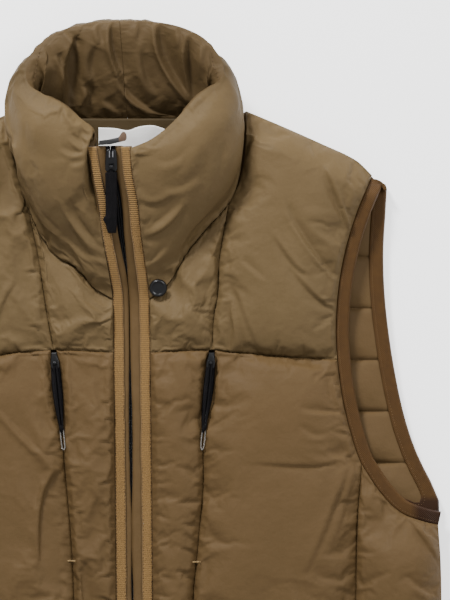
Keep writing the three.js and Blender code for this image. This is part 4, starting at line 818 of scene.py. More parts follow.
def collar_grids(sign):
    """Outer and inner faces of one collar half, with the wall's own thickness and folds."""
    rows = collar_line[sign]
    last = len(rows["sx"]) - 1
    coarse = np.linspace(0, last, 200)
    seam_path = collar_middle(sign, coarse, np.array(0.5))
    run = np.concatenate([[0], np.cumsum(np.linalg.norm(np.diff(seam_path, axis=0), axis=1))])
    steps = int(run[-1] / COLLAR_ALONG)
    even = np.interp(np.linspace(0, run[-1], steps + 1), run, coarse)
    station = np.concatenate([[even[0], even[1] * 0.4], even[1:-1], [lerp(even[-1], even[-2], 0.4), even[-1]]])
    station = station[:, None]
    v = (1 - np.cos(np.pi * np.linspace(0, 1, COLLAR_UP))) / 2
    v = lerp(np.linspace(0, 1, COLLAR_UP), v, 0.5)[None]
    value = lambda column: station_value(rows, column, station)
    turn = np.radians(value("turn"))
    middle = collar_middle(sign, station, lerp(COLLAR_SEAM_LIFT, 1, v))
    ahead = collar_middle(sign, np.minimum(station + 0.2, last), v)
    behind = collar_middle(sign, np.maximum(station - 0.2, 0), v)
    up = collar_middle(sign, station, np.minimum(v + 0.05, 1)) - collar_middle(sign, station, np.maximum(v - 0.05, 0))
    normal = np.cross(ahead - behind, up) * sign
    normal /= np.linalg.norm(normal, axis=-1, keepdims=True)
    edge = np.stack([np.sin(turn), 0 * turn, np.cos(turn)], -1)
    away = lerp(normal, edge, np.maximum(0, 1 - v / 0.16)[..., None])
    away /= np.linalg.norm(away, axis=-1, keepdims=True)
    from_zip = np.minimum(1, station / 2)
    away[..., 0] *= from_zip ** 2 * (3 - 2 * from_zip)
    roll = np.sqrt(1.00002 - np.clip((v - 1) / COLLAR_ROLL + 1, 0, 1) ** 2)
    swell = np.sin(np.pi * np.minimum(v, 0.5)) ** 0.7 * roll * snap_press(middle[..., 0], middle[..., 1])
    half = lerp(COLLAR_SEAM_HALF, COLLAR_RIM_HALF, v) * roll
    outer = middle + away * (half + value("out") * swell)[..., None]
    inner = middle - away * (half + value("inside") * swell)[..., None]
    height = np.linalg.norm(collar_middle(sign, station, np.array(1.0)) - collar_middle(sign, station, np.array(0.0)), axis=-1)
    seam = np.minimum(v, 1 - v) * height
    return {"over": outer, "under": inner, "seam": seam, "away": away, "swell": swell, "station": station}


for sign in (-1, 1):
    sheet = collar_grids(sign)
    outer, inner, swell = sheet["over"], sheet["under"], sheet["swell"]
    folds = crease_relief(collar_creases, outer[..., 0], outer[..., 1])
    front_share = np.clip((COLLAR_BACK_STATION - sheet["station"]) / 2, 0, 1)
    back_share = 1 - front_share
    outer += sheet["away"] * (folds * swell * front_share)[..., None]
    outer[..., 2] = np.maximum(outer[..., 2], 0)
    pleats = crease_relief(collar_pleats, inner[..., 0], inner[..., 1])
    inner -= sheet["away"] * (np.maximum(pleats, -8.5) * swell * back_share)[..., None]
    sheets[f"collar_{side_of(sign)}"] = sheet

# Filling. The padding swells each piece against its sewn edges, so the loose nylon puckers at the
# seams: every face is settled as cloth under light pressure, held at its edges and softly inside.
SETTLE_FRAMES = 20
SETTLE_PRESSURE = 4.0
SETTLE_CAP = 5.0
SPARE_CLOTH = 0.055
HOLD_LEVELS = 24


def loose_cloth(name, grid, hold, taut):
    """A grid of points as simulated cloth: hold is 1 where it is sewn, taut where it has no spare cloth."""
    rows, columns = grid.shape[:2]
    index = np.arange(rows * columns).reshape(rows, columns)
    faces = np.stack([index[:-1, :-1], index[:-1, 1:], index[1:, 1:], index[1:, :-1]], -1).reshape(-1, 4)
    mesh = bpy.data.meshes.new(name)
    mesh.from_pydata((grid.reshape(-1, 3) * MM).tolist(), [], faces.tolist())
    made = bpy.data.objects.new(name, mesh)
    bpy.context.collection.objects.link(made)
    for group_name, weights in (("hold", hold), ("taut", taut)):
        group = made.vertex_groups.new(name=group_name)
        levels = np.round(weights.ravel() * HOLD_LEVELS).astype(int)
        for level in np.unique(levels):
            group.add(np.flatnonzero(levels == level).tolist(), level / HOLD_LEVELS, "REPLACE")
    cloth = made.modifiers.new("swell", "CLOTH")
    settings = cloth.settings
    settings.quality = 5
    settings.mass = 0.02
    settings.tension_stiffness = 12
    settings.compression_stiffness = 12
    settings.shear_stiffness = 4
    settings.bending_stiffness = 0.2
    settings.vertex_group_mass = "hold"
    settings.pin_stiffness = 0.6
    settings.use_pressure = True
    settings.uniform_pressure_force = SETTLE_PRESSURE
    settings.vertex_group_shrink = "taut"
    settings.shrink_min = -SPARE_CLOTH
    settings.shrink_max = 0.0
    settings.effector_weights.gravity = 0
    cloth.collision_settings.use_collision = False
    return made


def settle(grids):
    """Runs all the faces together and returns their settled points, none moved past the cap."""
    loose = {name: loose_cloth(f"loose_{name}", *face) for name, face in grids.items()}
    for step in range(1, SETTLE_FRAMES + 1):
        bpy.context.scene.frame_set(step)
    graph = bpy.context.evaluated_depsgraph_get()
    settled = {}
    for name, made in loose.items():
        mesh = made.evaluated_get(graph).to_mesh()
        points = np.empty(len(mesh.vertices) * 3)
        mesh.vertices.foreach_get("co", points)
        start = grids[name][0]
        shift = points.reshape(start.shape) / MM - start
        size = np.linalg.norm(shift, axis=-1, keepdims=True)
        settled[name] = start + shift * SETTLE_CAP * np.tanh(size / SETTLE_CAP) / np.maximum(size, 1e-6)
    for made in loose.values():
        bpy.data.objects.remove(made)
    bpy.context.scene.frame_set(1)
    return settled


def held(sheet, firm=0.0):
    """Sewn edges are fixed; the cloth close to them is looser than the middle, which keeps its form."""
    edge = np.zeros(sheet["over"].shape[:2], bool)
    edge[[0, -1]] = True
    edge[:, [0, -1]] = True
    seam = sheet["seam"]
    hold = np.where(edge, 1.0, 0.03 + 0.04 * firm + 0.03 * rounded(seam, 40))
    taut = 0.5 * firm + (0.65 - 0.3 * firm) * (1 - np.exp(-((seam / 16) ** 2)))
    return hold, taut


faces = {name: (sheet["over"], *held(sheet)) for name, sheet in sheets.items()}
for name in ("collar_left", "collar_right"):
    weights = [weight[:, ::-1] for weight in held(sheets[name], firm=1.0)]
    faces[f"{name}:inside"] = (sheets[name]["under"][:, ::-1], *weights)
for name, points in settle(faces).items():
    name, _, inside = name.partition(":")
    if inside:
        sheets[name]["under"] = points[:, ::-1]
    else:
        sheets[name]["over"] = points


# Painted light: the yokes take a lighter copy of the same nylon, for the stronger light on the upper fronts.
painted_light_upper_nylon = finish("painted_light_upper_nylon", NYLON_GLOSS, lambda wire: nylon_surface(wire, (83, 67, 42), (98, 81, 55)))
# Painted shade: the collar's inner faces take a darker copy of the same nylon, for the shade inside the collar.
inner_nylon = finish("inner_nylon", NYLON_GLOSS, lambda wire: nylon_surface(wire, (68, 54, 32), (81, 65, 43)))


def collar_painted_light_and_shade_surface(wire):
    """The same nylon in the yokes' lighter tones, which are painted light, falling towards the back to a darker tone,
    which is painted shade.
    """
    sockets = nylon_surface(wire, (83, 67, 42), (98, 81, 55))
    # Painted shade: towards the back the colour goes to a dark brown, where the collar's inside faces away from the
    # light.
    back = (wire.place("Y") * 26 - 7.55).between(0.0, 0.9)
    return {**sockets, "Base Color": wire.blend(back, sockets["Base Color"], srgb(71, 57, 35))}


collar_nylon = finish("collar_nylon", NYLON_GLOSS, collar_painted_light_and_shade_surface)
for name, sheet in sheets.items():
    tone = {"collar": collar_nylon, "yoke": painted_light_upper_nylon}.get(name.split("_")[0], nylon)
    cloth = add_wall(f"{name}_cloth", sheet["over"], sheet["under"], tone)
    # The collar's inner faces get the darker copy of the nylon: painted shade.
    if name.startswith("collar"):
        cloth.data.materials.append(inner_nylon)
        face_count = (sheet["under"].shape[0] - 1) * (sheet["under"].shape[1] - 1)
        for face in cloth.data.polygons[face_count:2 * face_count]:
            face.material_index = 1
    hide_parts(name)

# Zip tapes and flanges. The black zip is sewn under two plain nylon flaps that nearly meet over its
# teeth, and opens a little towards the top. A row of black coil runs along each tape's inner edge.
ZIP_TOP_Y = 262
TAPE_THICK = 2.0
FLANGE_THICK = 2.6
FLANGE_TUCK = 1.8
ZIP_TAPE_THICK = 1.6
SEATED = 0.3
STRIP_STEP = 2.4
COIL_PITCH = 1.3
FLANGE_TOP = -TAPE_THICK - SEATED
ZIP_TAPE_TOP = FLANGE_TOP - FLANGE_THICK - SEATED
strip_rows = np.linspace(HEM_Y, ZIP_TOP_Y, int((ZIP_TOP_Y - HEM_Y) / STRIP_STEP))


def strip_point(y, offset, height):
    """A point beside the zip, at a height over the tapes' top; the strips lean up the collar."""
    slope = (read(zip_line, "y", "z", y + 2) - read(zip_line, "y", "z", y - 2)) / 4
    lean = np.minimum(np.arctan(slope), np.radians(26))
    x = read(zip_line, "y", "x", y) + offset
    shift = np.sin(lean) * height * (y > 100)
    return np.stack(np.broadcast_arrays(x, y - shift, read(zip_line, "y", "z", y) + np.cos(lean) * height), -1)


def strip_grid(near, far, low, high, columns, wave, seed):
    """Upper and under grids of a strip along the zip, its edges rounded and a little wavy."""
    y = strip_rows[:, None]
    f = np.linspace(0, 1, columns)[None]
    near_wave = wave * ripple(y * 1.0, 0 * y, 16, seed)
    far_wave = wave * ripple(y * 1.0, 0 * y, 14, seed + 1)
    offset = lerp(near(y) + near_wave, far(y) + far_wave, f)
    edge = np.minimum(f, 1 - f) * np.abs(far(y) - near(y))
    crown = (high - low) * 0.35 * np.exp(-((edge / 0.5) ** 2))
    lift = wave * 0.7 * ripple(y + 0 * f, 40 * f + 0 * y, 12, seed + 2)
    over = strip_point(y + 0 * f, offset, high - crown + np.minimum(lift, 0.3))
    return over, strip_point(y + 0 * f, offset, low + 0 * offset)


def black_surface(wire):
    lint = wire.noise(700, 2)
    threads = (wire.place("Y") * 7000).sine()
    return {
        "Base Color": wire.blend(lint, srgb(10, 9, 11), srgb(24, 22, 24)),
        "Roughness": 0.6 + lint * 0.2,
        "Normal": wire.bump(threads, 0.0001),
    }


black_cloth = finish("black_zip_cloth", {"Specular IOR Level": 0.12}, black_surface)


def coil_surface(wire):
    haze = wire.noise(900, 1)
    return {"Base Color": wire.blend(haze, srgb(8, 8, 9), srgb(22, 22, 24)), "Roughness": 0.3 + haze * 0.15}


black_coil = finish("black_zip_coil", {"Specular IOR Level": 0.3}, coil_surface)


def coil_row(name, centres, tangent, width, height, body="vest"):
    """Zip teeth: a row of small rounded lozenges, one for each turn of the coil."""
    half = np.array([(-1, -1, 0), (1, -1, 0), (1, 1, 0), (-1, 1, 0), (-0.7, -0.6, 1), (0.7, -0.6, 1), (0.7, 0.6, 1), (-0.7, 0.6, 1)])
    size = np.array([width / 2, COIL_PITCH * 0.36, height])
    points = centres[:, None] + half[None] * size
    faces = np.array([(0, 3, 2, 1), (4, 5, 6, 7), (0, 1, 5, 4), (1, 2, 6, 5), (2, 3, 7, 6), (3, 0, 4, 7)])
    all_faces = (faces[None] + 8 * np.arange(len(centres))[:, None, None]).reshape(-1, 4)
    made = add_piece(name, points, all_faces, black_coil, body=body, slot="black_zip_tape")
    return made


for sign in (-1, 1):
    hand = side_of(sign)
    slit = lambda y: sign * read(strips, "y", "slit", y) / 2
    flange_out = lambda y: sign * (read(strips, "y", f"{hand}_out", y) + FLANGE_TUCK)
    grids = strip_grid(slit, flange_out, FLANGE_TOP - FLANGE_THICK, FLANGE_TOP, 9, 0.25, 11 + sign)
    flange = add_wall(f"zip_flap_{hand}", *grids, nylon)
    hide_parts(f"zip_flange_{hand}")
    plain = lambda y: sign * 0.15 + 0 * y
    tape_out = lambda y: sign * 11.0 + 0 * y
    grids = strip_grid(plain, tape_out, ZIP_TAPE_TOP - ZIP_TAPE_THICK, ZIP_TAPE_TOP, 7, 0.0, 17)
    zip_tape = add_wall(f"zip_side_{hand}", *[grid[2:] for grid in grids], black_cloth, slot="black_zip_tape")
    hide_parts(f"zip_tape_{hand}")
    tooth_y = np.arange(HEM_Y + 6, ZIP_TOP_Y - 6, COIL_PITCH) + (0 if sign > 0 else COIL_PITCH / 2)
    spread = np.interp(tooth_y, (236, 258), (1.0, 3.2))
    teeth = strip_point(tooth_y, sign * spread, ZIP_TAPE_TOP + 0.1 + 0 * tooth_y)
    coil_row(f"zip_coil_{hand}", teeth, None, 1.9, 1.3)

# Front tapes. Ribbed ochre tape, 9 mm wide, is sewn down both of its edges on each side of the zip.
RIB_PITCH = 0.0018


def ochre_surface(wire):
    rib = (wire.place("Y") * (2 * np.pi / RIB_PITCH)).sine()
    tone = wire.noise(120, 3, 0.6)
    wear = wire.noise(22, 2)
    colour = wire.blend(tone * 0.6 + wear * 0.4, srgb(116, 87, 44), srgb(142, 110, 62))
    # Painted shade: the colour goes darker in the grooves between the ribs, in step with the rib bump.
    ribs_with_painted_groove_shade = wire.blend(rib * 0.3 + 0.7, srgb(74, 52, 24), colour)
    return {"Base Color": ribs_with_painted_groove_shade, "Roughness": 0.75 + tone * 0.15, "Normal": wire.bump(rib + tone, 0.00022)}


ochre = finish("ochre_tape", {"Sheen Weight": 0.25, "Specular IOR Level": 0.25}, ochre_surface)


def thread_surface(wire):
    twist = wire.noise(1500, 1)
    return {"Base Color": wire.blend(twist, srgb(66, 46, 24), srgb(90, 66, 38)), "Roughness": 0.6 + twist * 0.2}


brown_thread = finish("brown_thread", {}, thread_surface)


def stitches(name, path, normal, length, gap, width, rise, finish, slot, body="vest"):
    """Lockstitches along a path: each is a small sunk lozenge of thread, pointed at both ends."""
    run = np.concatenate([[0], np.cumsum(np.linalg.norm(np.diff(path, axis=0), axis=1))])
    centres_at = np.arange(length / 2, run[-1] - length / 2, length + gap)
    at = lambda where: np.stack([np.interp(where, run, path[:, i]) for i in range(3)], -1)
    centre = at(centres_at)
    ahead = at(centres_at + length / 2) - at(centres_at - length / 2)
    up = np.broadcast_to(normal, centre.shape)
    sideways = np.cross(up, ahead)
    sideways /= np.linalg.norm(sideways, axis=-1, keepdims=True)
    corners = [centre - ahead / 2, centre + ahead / 2, centre - sideways * width / 2, centre + sideways * width / 2]
    points = np.stack([*corners, centre + up * rise, centre - up * rise], 1)
    faces = np.array([(0, 2, 4), (2, 1, 4), (1, 3, 4), (3, 0, 4), (2, 0, 5), (1, 2, 5), (3, 1, 5), (0, 3, 5)])
    all_faces = (faces[None] + 6 * np.arange(len(centre))[:, None, None]).reshape(-1, 3)
    return add_piece(name, points, all_faces, finish, body=body, slot=slot)


UP = np.array((0.0, 0.0, 1.0))
for sign in (-1, 1):
    hand = side_of(sign)
    near = lambda y: sign * read(strips, "y", f"{hand}_in", y)
    far = lambda y: sign * read(strips, "y", f"{hand}_out", y)
    grids = strip_grid(near, far, -TAPE_THICK, 0.0, 11, 0.3, 23 + sign)
    tape = add_wall(f"ochre_tape_{hand}", *grids, ochre, slot="ochre_tape")
    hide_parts(f"front_tape_{hand}")
    for edge, column in (("inner", 1), ("outer", -2)):
        line_on_tape = grids[0][:, column] + (0, 0, 0.05)
        stitches(f"tape_stitches_{edge}_{hand}", line_on_tape, UP, 2.1, 1.0, 0.55, 0.22, brown_thread, "ochre_tape")

# Zip slider, its pull and the zip guard. The black metal slider has two bright prongs and a bar, from
# which a folded strap of black webbing hangs. The guard's end is folded over the top of the zip.
SLIDER_Y = 250
slider_place = Matrix.Translation((
    float(read(zip_line, "y", "x", 250.0)), SLIDER_Y, float(read(zip_line, "y", "z", 250.0)) - 2
)) @ Matrix.Rotation(np.radians(10), 4, "X")
strap_place = slider_place @ Matrix.Translation((0, -5, 6.6)) @ Matrix.Rotation(np.radians(10.2), 4, "X")


def metal_surface(wire):
    wear = wire.noise(420, 3, 0.6)
    return {
        "Base Color": wire.blend(wear, srgb(8, 8, 9), srgb(26, 26, 28)),
        "Roughness": 0.22 + wear * 0.22,
        "Metallic": 0.55 + wear * 0.2,
    }


black_metal = finish("black_metal", {"Coat Weight": 0.4, "Coat Roughness": 0.15}, metal_surface)


def steel_surface(wire):
    wear = wire.noise(600, 2)
    return {"Base Color": wire.blend(wear, srgb(150, 150, 152), srgb(205, 205, 208)), "Roughness": 0.2 + wear * 0.2}


bright_metal = finish("bright_prongs", {"Metallic": 1.0}, steel_surface)


def placed(matrix, points):
    points = np.asarray(points, float)
    return points @ np.array(matrix.to_3x3()).T + np.array(matrix.translation)


def plate(outline, low, high, bevel):
    """Points and faces of a flat plate with rounded upper edges, from its outline (counter-clockwise)."""
    outline = np.array(outline, float)
    centre = outline.mean(0)
    steps = [(0, low), (0, high - bevel), (0.3, high - 0.35 * bevel), (1.0, high)]
    rings = []
    for inset, z in steps:
        reach = np.linalg.norm(outline - centre, axis=1, keepdims=True)
        ring = centre + (outline - centre) * (1 - inset * bevel / reach)
        rings.append(np.column_stack([ring, np.full(len(ring), z)]))
    return tube(rings)


def tube(rings):
    """Points and faces of a closed tube through matching rings, capped at both ends."""
    rings = np.array(rings, float)
    count, size = rings.shape[:2]
    index = np.arange(count * size).reshape(count, size)
    nxt = np.roll(index, -1, axis=1)
    faces = [tuple(f) for f in np.stack([index[:-1], nxt[:-1], nxt[1:], index[1:]], -1).reshape(-1, 4)]
    faces.append(tuple(index[0][::-1]))
    faces.append(tuple(index[-1]))
    return rings.reshape(-1, 3), faces


def merged(*shapes):
    """Several point and face lists as one."""
    points, faces, start = [], [], 0
    for shape_points, shape_faces in shapes:
        points.append(np.asarray(shape_points, float))
        faces += [tuple(int(i) + start for i in face) for face in shape_faces]
        start += len(shape_points)
    return np.concatenate(points), faces


def add_hard(name, shape, place, finish, body, angle=40):
    """A hard piece: flat faces stay flat, rounded ones smooth."""
    mesh = bpy.data.meshes.new(name)
    mesh.from_pydata((placed(place, shape[0]) * MM).tolist(), [], shape[1])
    made = bpy.data.objects.new(name, mesh)
    bpy.context.collection.objects.link(made)
    turn_out(made)
    mesh.shade_smooth()
    mesh.set_sharp_from_angle(angle=np.radians(angle))
    mesh.materials.append(finish)
    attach(made, body)
    return made


def rod(start, end, radius, sides=16, bulge=1.0):
    """A round bar between two points."""
    start, end = np.array(start, float), np.array(end, float)
    along = (end - start) / np.linalg.norm(end - start)
    one = np.cross(along, (0, 0, 1) if abs(along[2]) < 0.9 else (0, 1, 0))
    one /= np.linalg.norm(one)
    two = np.cross(along, one)
    turn = np.linspace(0, 2 * np.pi, sides, endpoint=False)[:, None]
    circle = np.cos(turn) * one + np.sin(turn) * two
    stops = [(0, 0.6), (0.04, 1), (0.5, bulge), (0.96, 1), (1, 0.6)]
    return tube([lerp(start, end, f) + circle * radius * r for f, r in stops])


def block(low, high):
    (x0, y0, z0), (x1, y1, z1) = low, high
    return tube([
        [(x0, y0, z0), (x1, y0, z0), (x1, y1, z0), (x0, y1, z0)],
        [(x0, y0, z1 - 0.25), (x1, y0, z1 - 0.25), (x1, y1, z1 - 0.25), (x0, y1, z1 - 0.25)],
        [(x0 + 0.2, y0 + 0.2, z1), (x1 - 0.2, y0 + 0.2, z1), (x1 - 0.2, y1 - 0.2, z1), (x0 + 0.2, y1 - 0.2, z1)],
    ])


def slider_shapes(outline, thick, bar_y, bar_z, ear):
    """A slider's bevelled plate, its two ears and the bar between them."""
    ears = [block((s * (ear + 0.5) - 0.5, bar_y - 1.7, thick - 0.4), (s * (ear + 0.5) + 0.5, bar_y + 1.7, bar_z + 1.4)) for s in (-1, 1)]
    return merged(plate(outline, 0, thick, 0.9), *ears, rod((-ear - 0.5, bar_y, bar_z), (ear + 0.5, bar_y, bar_z), 0.85))


main_outline = [
    (-3.2, -10.4), (3.2, -10.4), (4.6, -9.2), (5.4, -7.6), (5.4, 0), (4.9, 5.5), (4.2, 10.4),
    (0.9, 10.4), (0, 8.4), (-0.9, 10.4), (-4.2, 10.4), (-4.9, 5.5), (-5.4, 0), (-5.4, -7.6), (-4.6, -9.2),
]
slider = add_hard("main_slider", slider_shapes(main_outline, 4.4, -5, 6.6, 1.8), slider_place, black_metal, "vest")
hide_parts("zip_slider")
prongs = merged(*[block((s * 1.5 - 0.55, 3.4, 4.2), (s * 1.5 + 0.55, 9.2, 5.6)) for s in (-1, 1)])
add_hard("slider_prongs", prongs, slider_place, bright_metal, "vest")


def webbing_surface(wire):
    rows = (wire.place("Y") * 5600).sine()
    columns = (wire.place("X") * 5600).sine()
    fuzz = wire.noise(900, 2)
    tone = wire.noise(180, 2)
    return {
        "Base Color": wire.blend(tone, srgb(7, 6, 7), srgb(20, 18, 20)),
        "Roughness": 0.62 + fuzz * 0.25,
        "Normal": wire.bump(rows * columns + fuzz, 0.00022),
    }


webbing = finish("black_webbing", {"Specular IOR Level": 0.12}, webbing_surface)
strap_edges = table(
    "y left right", (-62.5, -3.2, 4.2), (-60, -3.8, 4.5), (-54, -5.4, 5.0), (-51.5, -6.6, 5.1), (-49.5, -7.4, 5.2),
    (-47.5, -6.2, 5.2), (-45, -5.2, 5.2), (-8, -5.2, 5.2), (-5.4, -4.9, 4.9), (-4, -1.5, 1.5), (-1.4, -1.4, 1.4),
)


def strap_shape():
    """The folded strap: two layers of webbing, a little thicker at its stitched end."""
    y = np.linspace(-62.3, -1.6, 90)[:, None]
    f = np.linspace(0, 1, 13)[None]
    x = lerp(read(strap_edges, "y", "left", y), read(strap_edges, "y", "right", y), f)
    edge = np.minimum(f, 1 - f) * 2
    body = 1.0 - 0.55 * (1 - edge) ** 6 + 0 * y
    fold = 0.16 * np.cos(f * np.pi * 4) + 0.25 * np.exp(-(((y + 48) / 2.2) ** 2)) + 0.12 * ripple(x, y, 7, 31)
    over = np.stack([x, y + 0 * f, body + fold * edge ** 0.5], -1)
    under = np.stack([x, y + 0 * f, -body + 0.1 * (1 - edge)], -1)
    return over, under


over, under = [placed(strap_place, grid) for grid in strap_shape()]
strap = add_wall("webbing_pull", over, under, webbing, body="zip_pull", slot="black_strap")
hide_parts("zip_pull")


def ring_shape(width, bore, outer):
    """A short collar round the slider's bar, along X."""
    turn = np.linspace(0, 2 * np.pi, 25)
    rings = []
    for angle in turn[:-1]:
        c, s = np.cos(angle), np.sin(angle)
        section = [(-width / 2, bore), (-width / 2, outer), (width / 2, outer), (width / 2, bore)]
        rings.append([(x, r * c, r * s) for x, r in section])
    rings = np.array(rings)
    index = np.arange(rings.shape[0] * 4).reshape(-1, 4)
    ahead, up = np.roll(index, -1, axis=0), np.roll(index, -1, axis=1)
    faces = np.stack([index, up, np.roll(ahead, -1, axis=1), ahead], -1).reshape(-1, 4)
    return rings.reshape(-1, 3), [tuple(face) for face in faces]


eye_loop = add_hard("webbing_eye", ring_shape(2.8, 1.15, 1.85), strap_place, black_metal, "zip_pull")

guard_end = [
    (-27.5, 263.6), (-17, 264.2), (-8.6, 266.2), (-3.6, 267.4), (-2.4, 269), (-2.2, 271), (-2.8, 274), (-4.2, 275.4),
    (-6, 275.5), (-7, 274.4), (-8.4, 272), (-9.6, 270.6), (-17, 268.8), (-27, 267.4),
]


def guard_surface(wire):
    end = (wire.place("X") * 1600 + 15.5).between(0.0, 1.0)
    tone = wire.noise(300, 2)
    brown = wire.blend(tone, srgb(66, 44, 26), srgb(86, 62, 40))
    return {"Base Color": wire.blend(end, srgb(12, 11, 11), brown), "Roughness": 0.6 + tone * 0.2,
            "Normal": wire.bump(wire.noise(1800, 1), 0.0002)}


guard_cloth = finish("guard_cloth", {"Sheen Weight": 0.2}, guard_surface)
guard = add_hard("zip_guard_end", plate(guard_end, 0, 3.0, 0.7), Matrix.Translation((0, 0, 70.6)), guard_cloth, "vest", 60)
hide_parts("chin_guard")

# Chest zips. A short black zip stands open a little in each lower princess seam under the yoke. Its
# slider carries a thin folded cord that ends in a clear plastic loop.
POCKET_SLIDER_Y = 71.0
POCKET_SLIDER_Z = 28.4
pocket_outline = [
    (-2.6, -7.6), (2.6, -7.6), (3.6, -6.8), (4, -6), (4, -2), (2.9, 3), (2.2, 7), (-2.2, 7), (-2.9, 3), (-4, -2), (-4, -6), (-3.6, -6.8),
]


def clear_surface(wire):
    haze = wire.noise(500, 1)
    return {"Base Color": wire.blend(haze, srgb(140, 137, 131), srgb(176, 173, 168)), "Roughness": 0.12 + haze * 0.1}


clear_plastic = finish("clear_loop", {"Transmission Weight": 0.55, "IOR": 1.46, "Alpha": 0.72}, clear_surface)


def cord_shape(points, width, thick, sides=10):
    """A flat-sided cord through a list of points."""
    points = np.array(points, float)
    t = np.linspace(0, 1, len(points))
    fine = np.linspace(0, 1, 48)
    path = np.stack([np.interp(fine, t, points[:, i]) for i in range(3)], -1)
    for _ in range(4):
        path[1:-1] = (path[:-2] + 2 * path[1:-1] + path[2:]) / 4
    along = np.gradient(path, axis=0)
    along /= np.linalg.norm(along, axis=1, keepdims=True)
    sideways = np.cross(along, (0, 0, 1))
    sideways /= np.linalg.norm(sideways, axis=1, keepdims=True)
    up = np.cross(sideways, along)
    turn = np.linspace(0, 2 * np.pi, sides, endpoint=False)
    rings = [p + np.outer(np.cos(turn), s) * width / 2 + np.outer(np.sin(turn), u) * thick / 2 for p, s, u in zip(path, sideways, up)]
    return tube(rings)


for sign in (-1, 1):
    hand = side_of(sign)
    y = np.arange(4.5, 78.6, 1.5)[:, None]
    half = np.maximum(slit_half(y) - SEATED + SEAM_INSET, 0.2)
    f = np.linspace(-1, 1, 7)[None]
    x = princess_x(sign, y) + half * f
    over = np.stack([x, y + 0 * f, 26.0 + 0 * x], -1)
    lining = add_wall(f"chest_zip_{hand}", over, over - (0, 0, 2.0), black_cloth, slot="black_zip_tape")
    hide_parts(f"pocket_zip_{hand}")
    for edge in (-1, 1):
        tooth_y = np.arange(12, 66, COIL_PITCH) + (edge > 0) * COIL_PITCH / 2
        offset = edge * np.minimum(1.0, np.maximum(slit_half(tooth_y) - 0.4, 0.5))
        teeth = np.stack([princess_x(sign, tooth_y) + offset, tooth_y, np.full(len(tooth_y), 26.1)], -1)
        coil_row(f"chest_coil_{hand}_{'outer' if edge > 0 else 'inner'}", teeth, None, 1.8, 1.2)
    place = Matrix.Translation((float(princess_x(sign, POCKET_SLIDER_Y)), POCKET_SLIDER_Y, POCKET_SLIDER_Z))
    place = place @ Matrix.Rotation(np.radians(-sign * 5.8), 4, "Z")
    slider = add_hard(f"chest_slider_{hand}", slider_shapes(pocket_outline, 3.4, -2.5, 5.5, 1.5), place, black_metal, "vest")
    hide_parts(f"pocket_slider_{hand}")
    pull_place = place @ Matrix.Translation((0, -2.5, 5.5)) @ Matrix.Rotation(np.radians(2.4), 4, "X")
    strands = merged(
        cord_shape([(-0.7, -1.4, 0), (-1.2, -5, 0.1), (-1.5, -20, 0), (-1.4, -40, 0.1), (-1.2, -58, 0), (-0.9, -63, 0)], 1.9, 1.7),
        cord_shape([(0.7, -1.4, 0), (1.2, -5, 0.1), (1.5, -20, 0.1), (1.3, -40, 0), (1.3, -56, 0.1), (0.9, -61, 0)], 1.9, 1.7),
        rod((0, -56.5, 0), (0, -61.5, 0), 1.7, 16),
    )
    body = f"chest_pull_{hand}"
    pull = add_hard(f"chest_cord_{hand}", strands, pull_place, webbing, body, 80)
    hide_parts(f"pocket_pull_{hand}")
    loop = cord_shape([(-1.4, -60, 0), (-1.5, -70, 0), (-1.3, -77, 0), (0, -79, 0), (1.3, -77, 0), (1.5, -70, 0), (1.4, -60, 0)], 1.1, 1.1)
    add_hard(f"chest_loop_{hand}", loop, pull_place, clear_plastic, body, 80)
    add_hard(f"chest_eye_{hand}", ring_shape(2.4, 1.15, 1.85), pull_place, black_metal, body)

# Bartacks. A short dense row of light thread crosses each lower princess seam below the chest zip.
TACK_HALF = 3.2
tacks = table("x y", (-52.7, -109.8), (59.9, -110.7))


def tan_surface(wire):
    twist = wire.noise(1500, 1)
    return {"Base Color": wire.blend(twist, srgb(122, 98, 60), srgb(150, 124, 82)), "Roughness": 0.6 + twist * 0.2}


tan_thread = finish("tan_thread", {}, tan_surface)


def height_over(path, reach, *grids):
    """Height of the highest cloth point within reach of each point of a path."""
    cloth = np.concatenate([grid.reshape(-1, 3) for grid in grids])
    near = np.hypot(*(path[:, None] - cloth[None, :, :2]).transpose(2, 0, 1)) < reach
    return np.where(near, cloth[None, :, 2], 0).max(axis=1)


passes = np.linspace(-TACK_HALF, TACK_HALF, 11)
for hand, x, y in zip(("left", "right"), tacks["x"], tacks["y"]):
    row = np.column_stack([x + passes, np.full(len(passes), y)])
    level = height_over(row, 1.6, sheets[f"front_centre_{hand}"]["over"], sheets[f"front_main_{hand}"]["over"]) + 0.2
    threads = [rod((at, y - 0.8, z), (at, y + 0.8, z), 0.38, 8) for (at, _), z in zip(row, level)]
    add_hard(f"bartack_{hand}", merged(*threads), Matrix(), tan_thread, "vest", 80)

# Collar stitching. A row of lockstitches holds the padding inside each fat side of the collar.
def even_path(points, step):
    run = np.concatenate([[0], np.cumsum(np.linalg.norm(np.diff(points, axis=0), axis=1))])
    where = np.linspace(0, run[-1], int(run[-1] / step))
    return np.stack([np.interp(where, run, points[:, i]) for i in range(points.shape[1])], -1)


collar_rows = {
    1: [(72.9, 352), (74.7, 338), (78.3, 326), (81, 319)],
    -1: [(-80, 352), (-83, 338), (-85, 326), (-86, 319)],
}
for sign, path in collar_rows.items():
    hand = side_of(sign)
    path = even_path(np.array(path, float), 2.0)
    high = height_over(path, 2.0, sheets[f"collar_{hand}"]["under"])
    stitches(f"collar_stitches_{hand}", np.column_stack([path, high + 0.1]), UP, 2.2, 1.6, 0.6, 0.35, brown_thread, "shell_fabric")

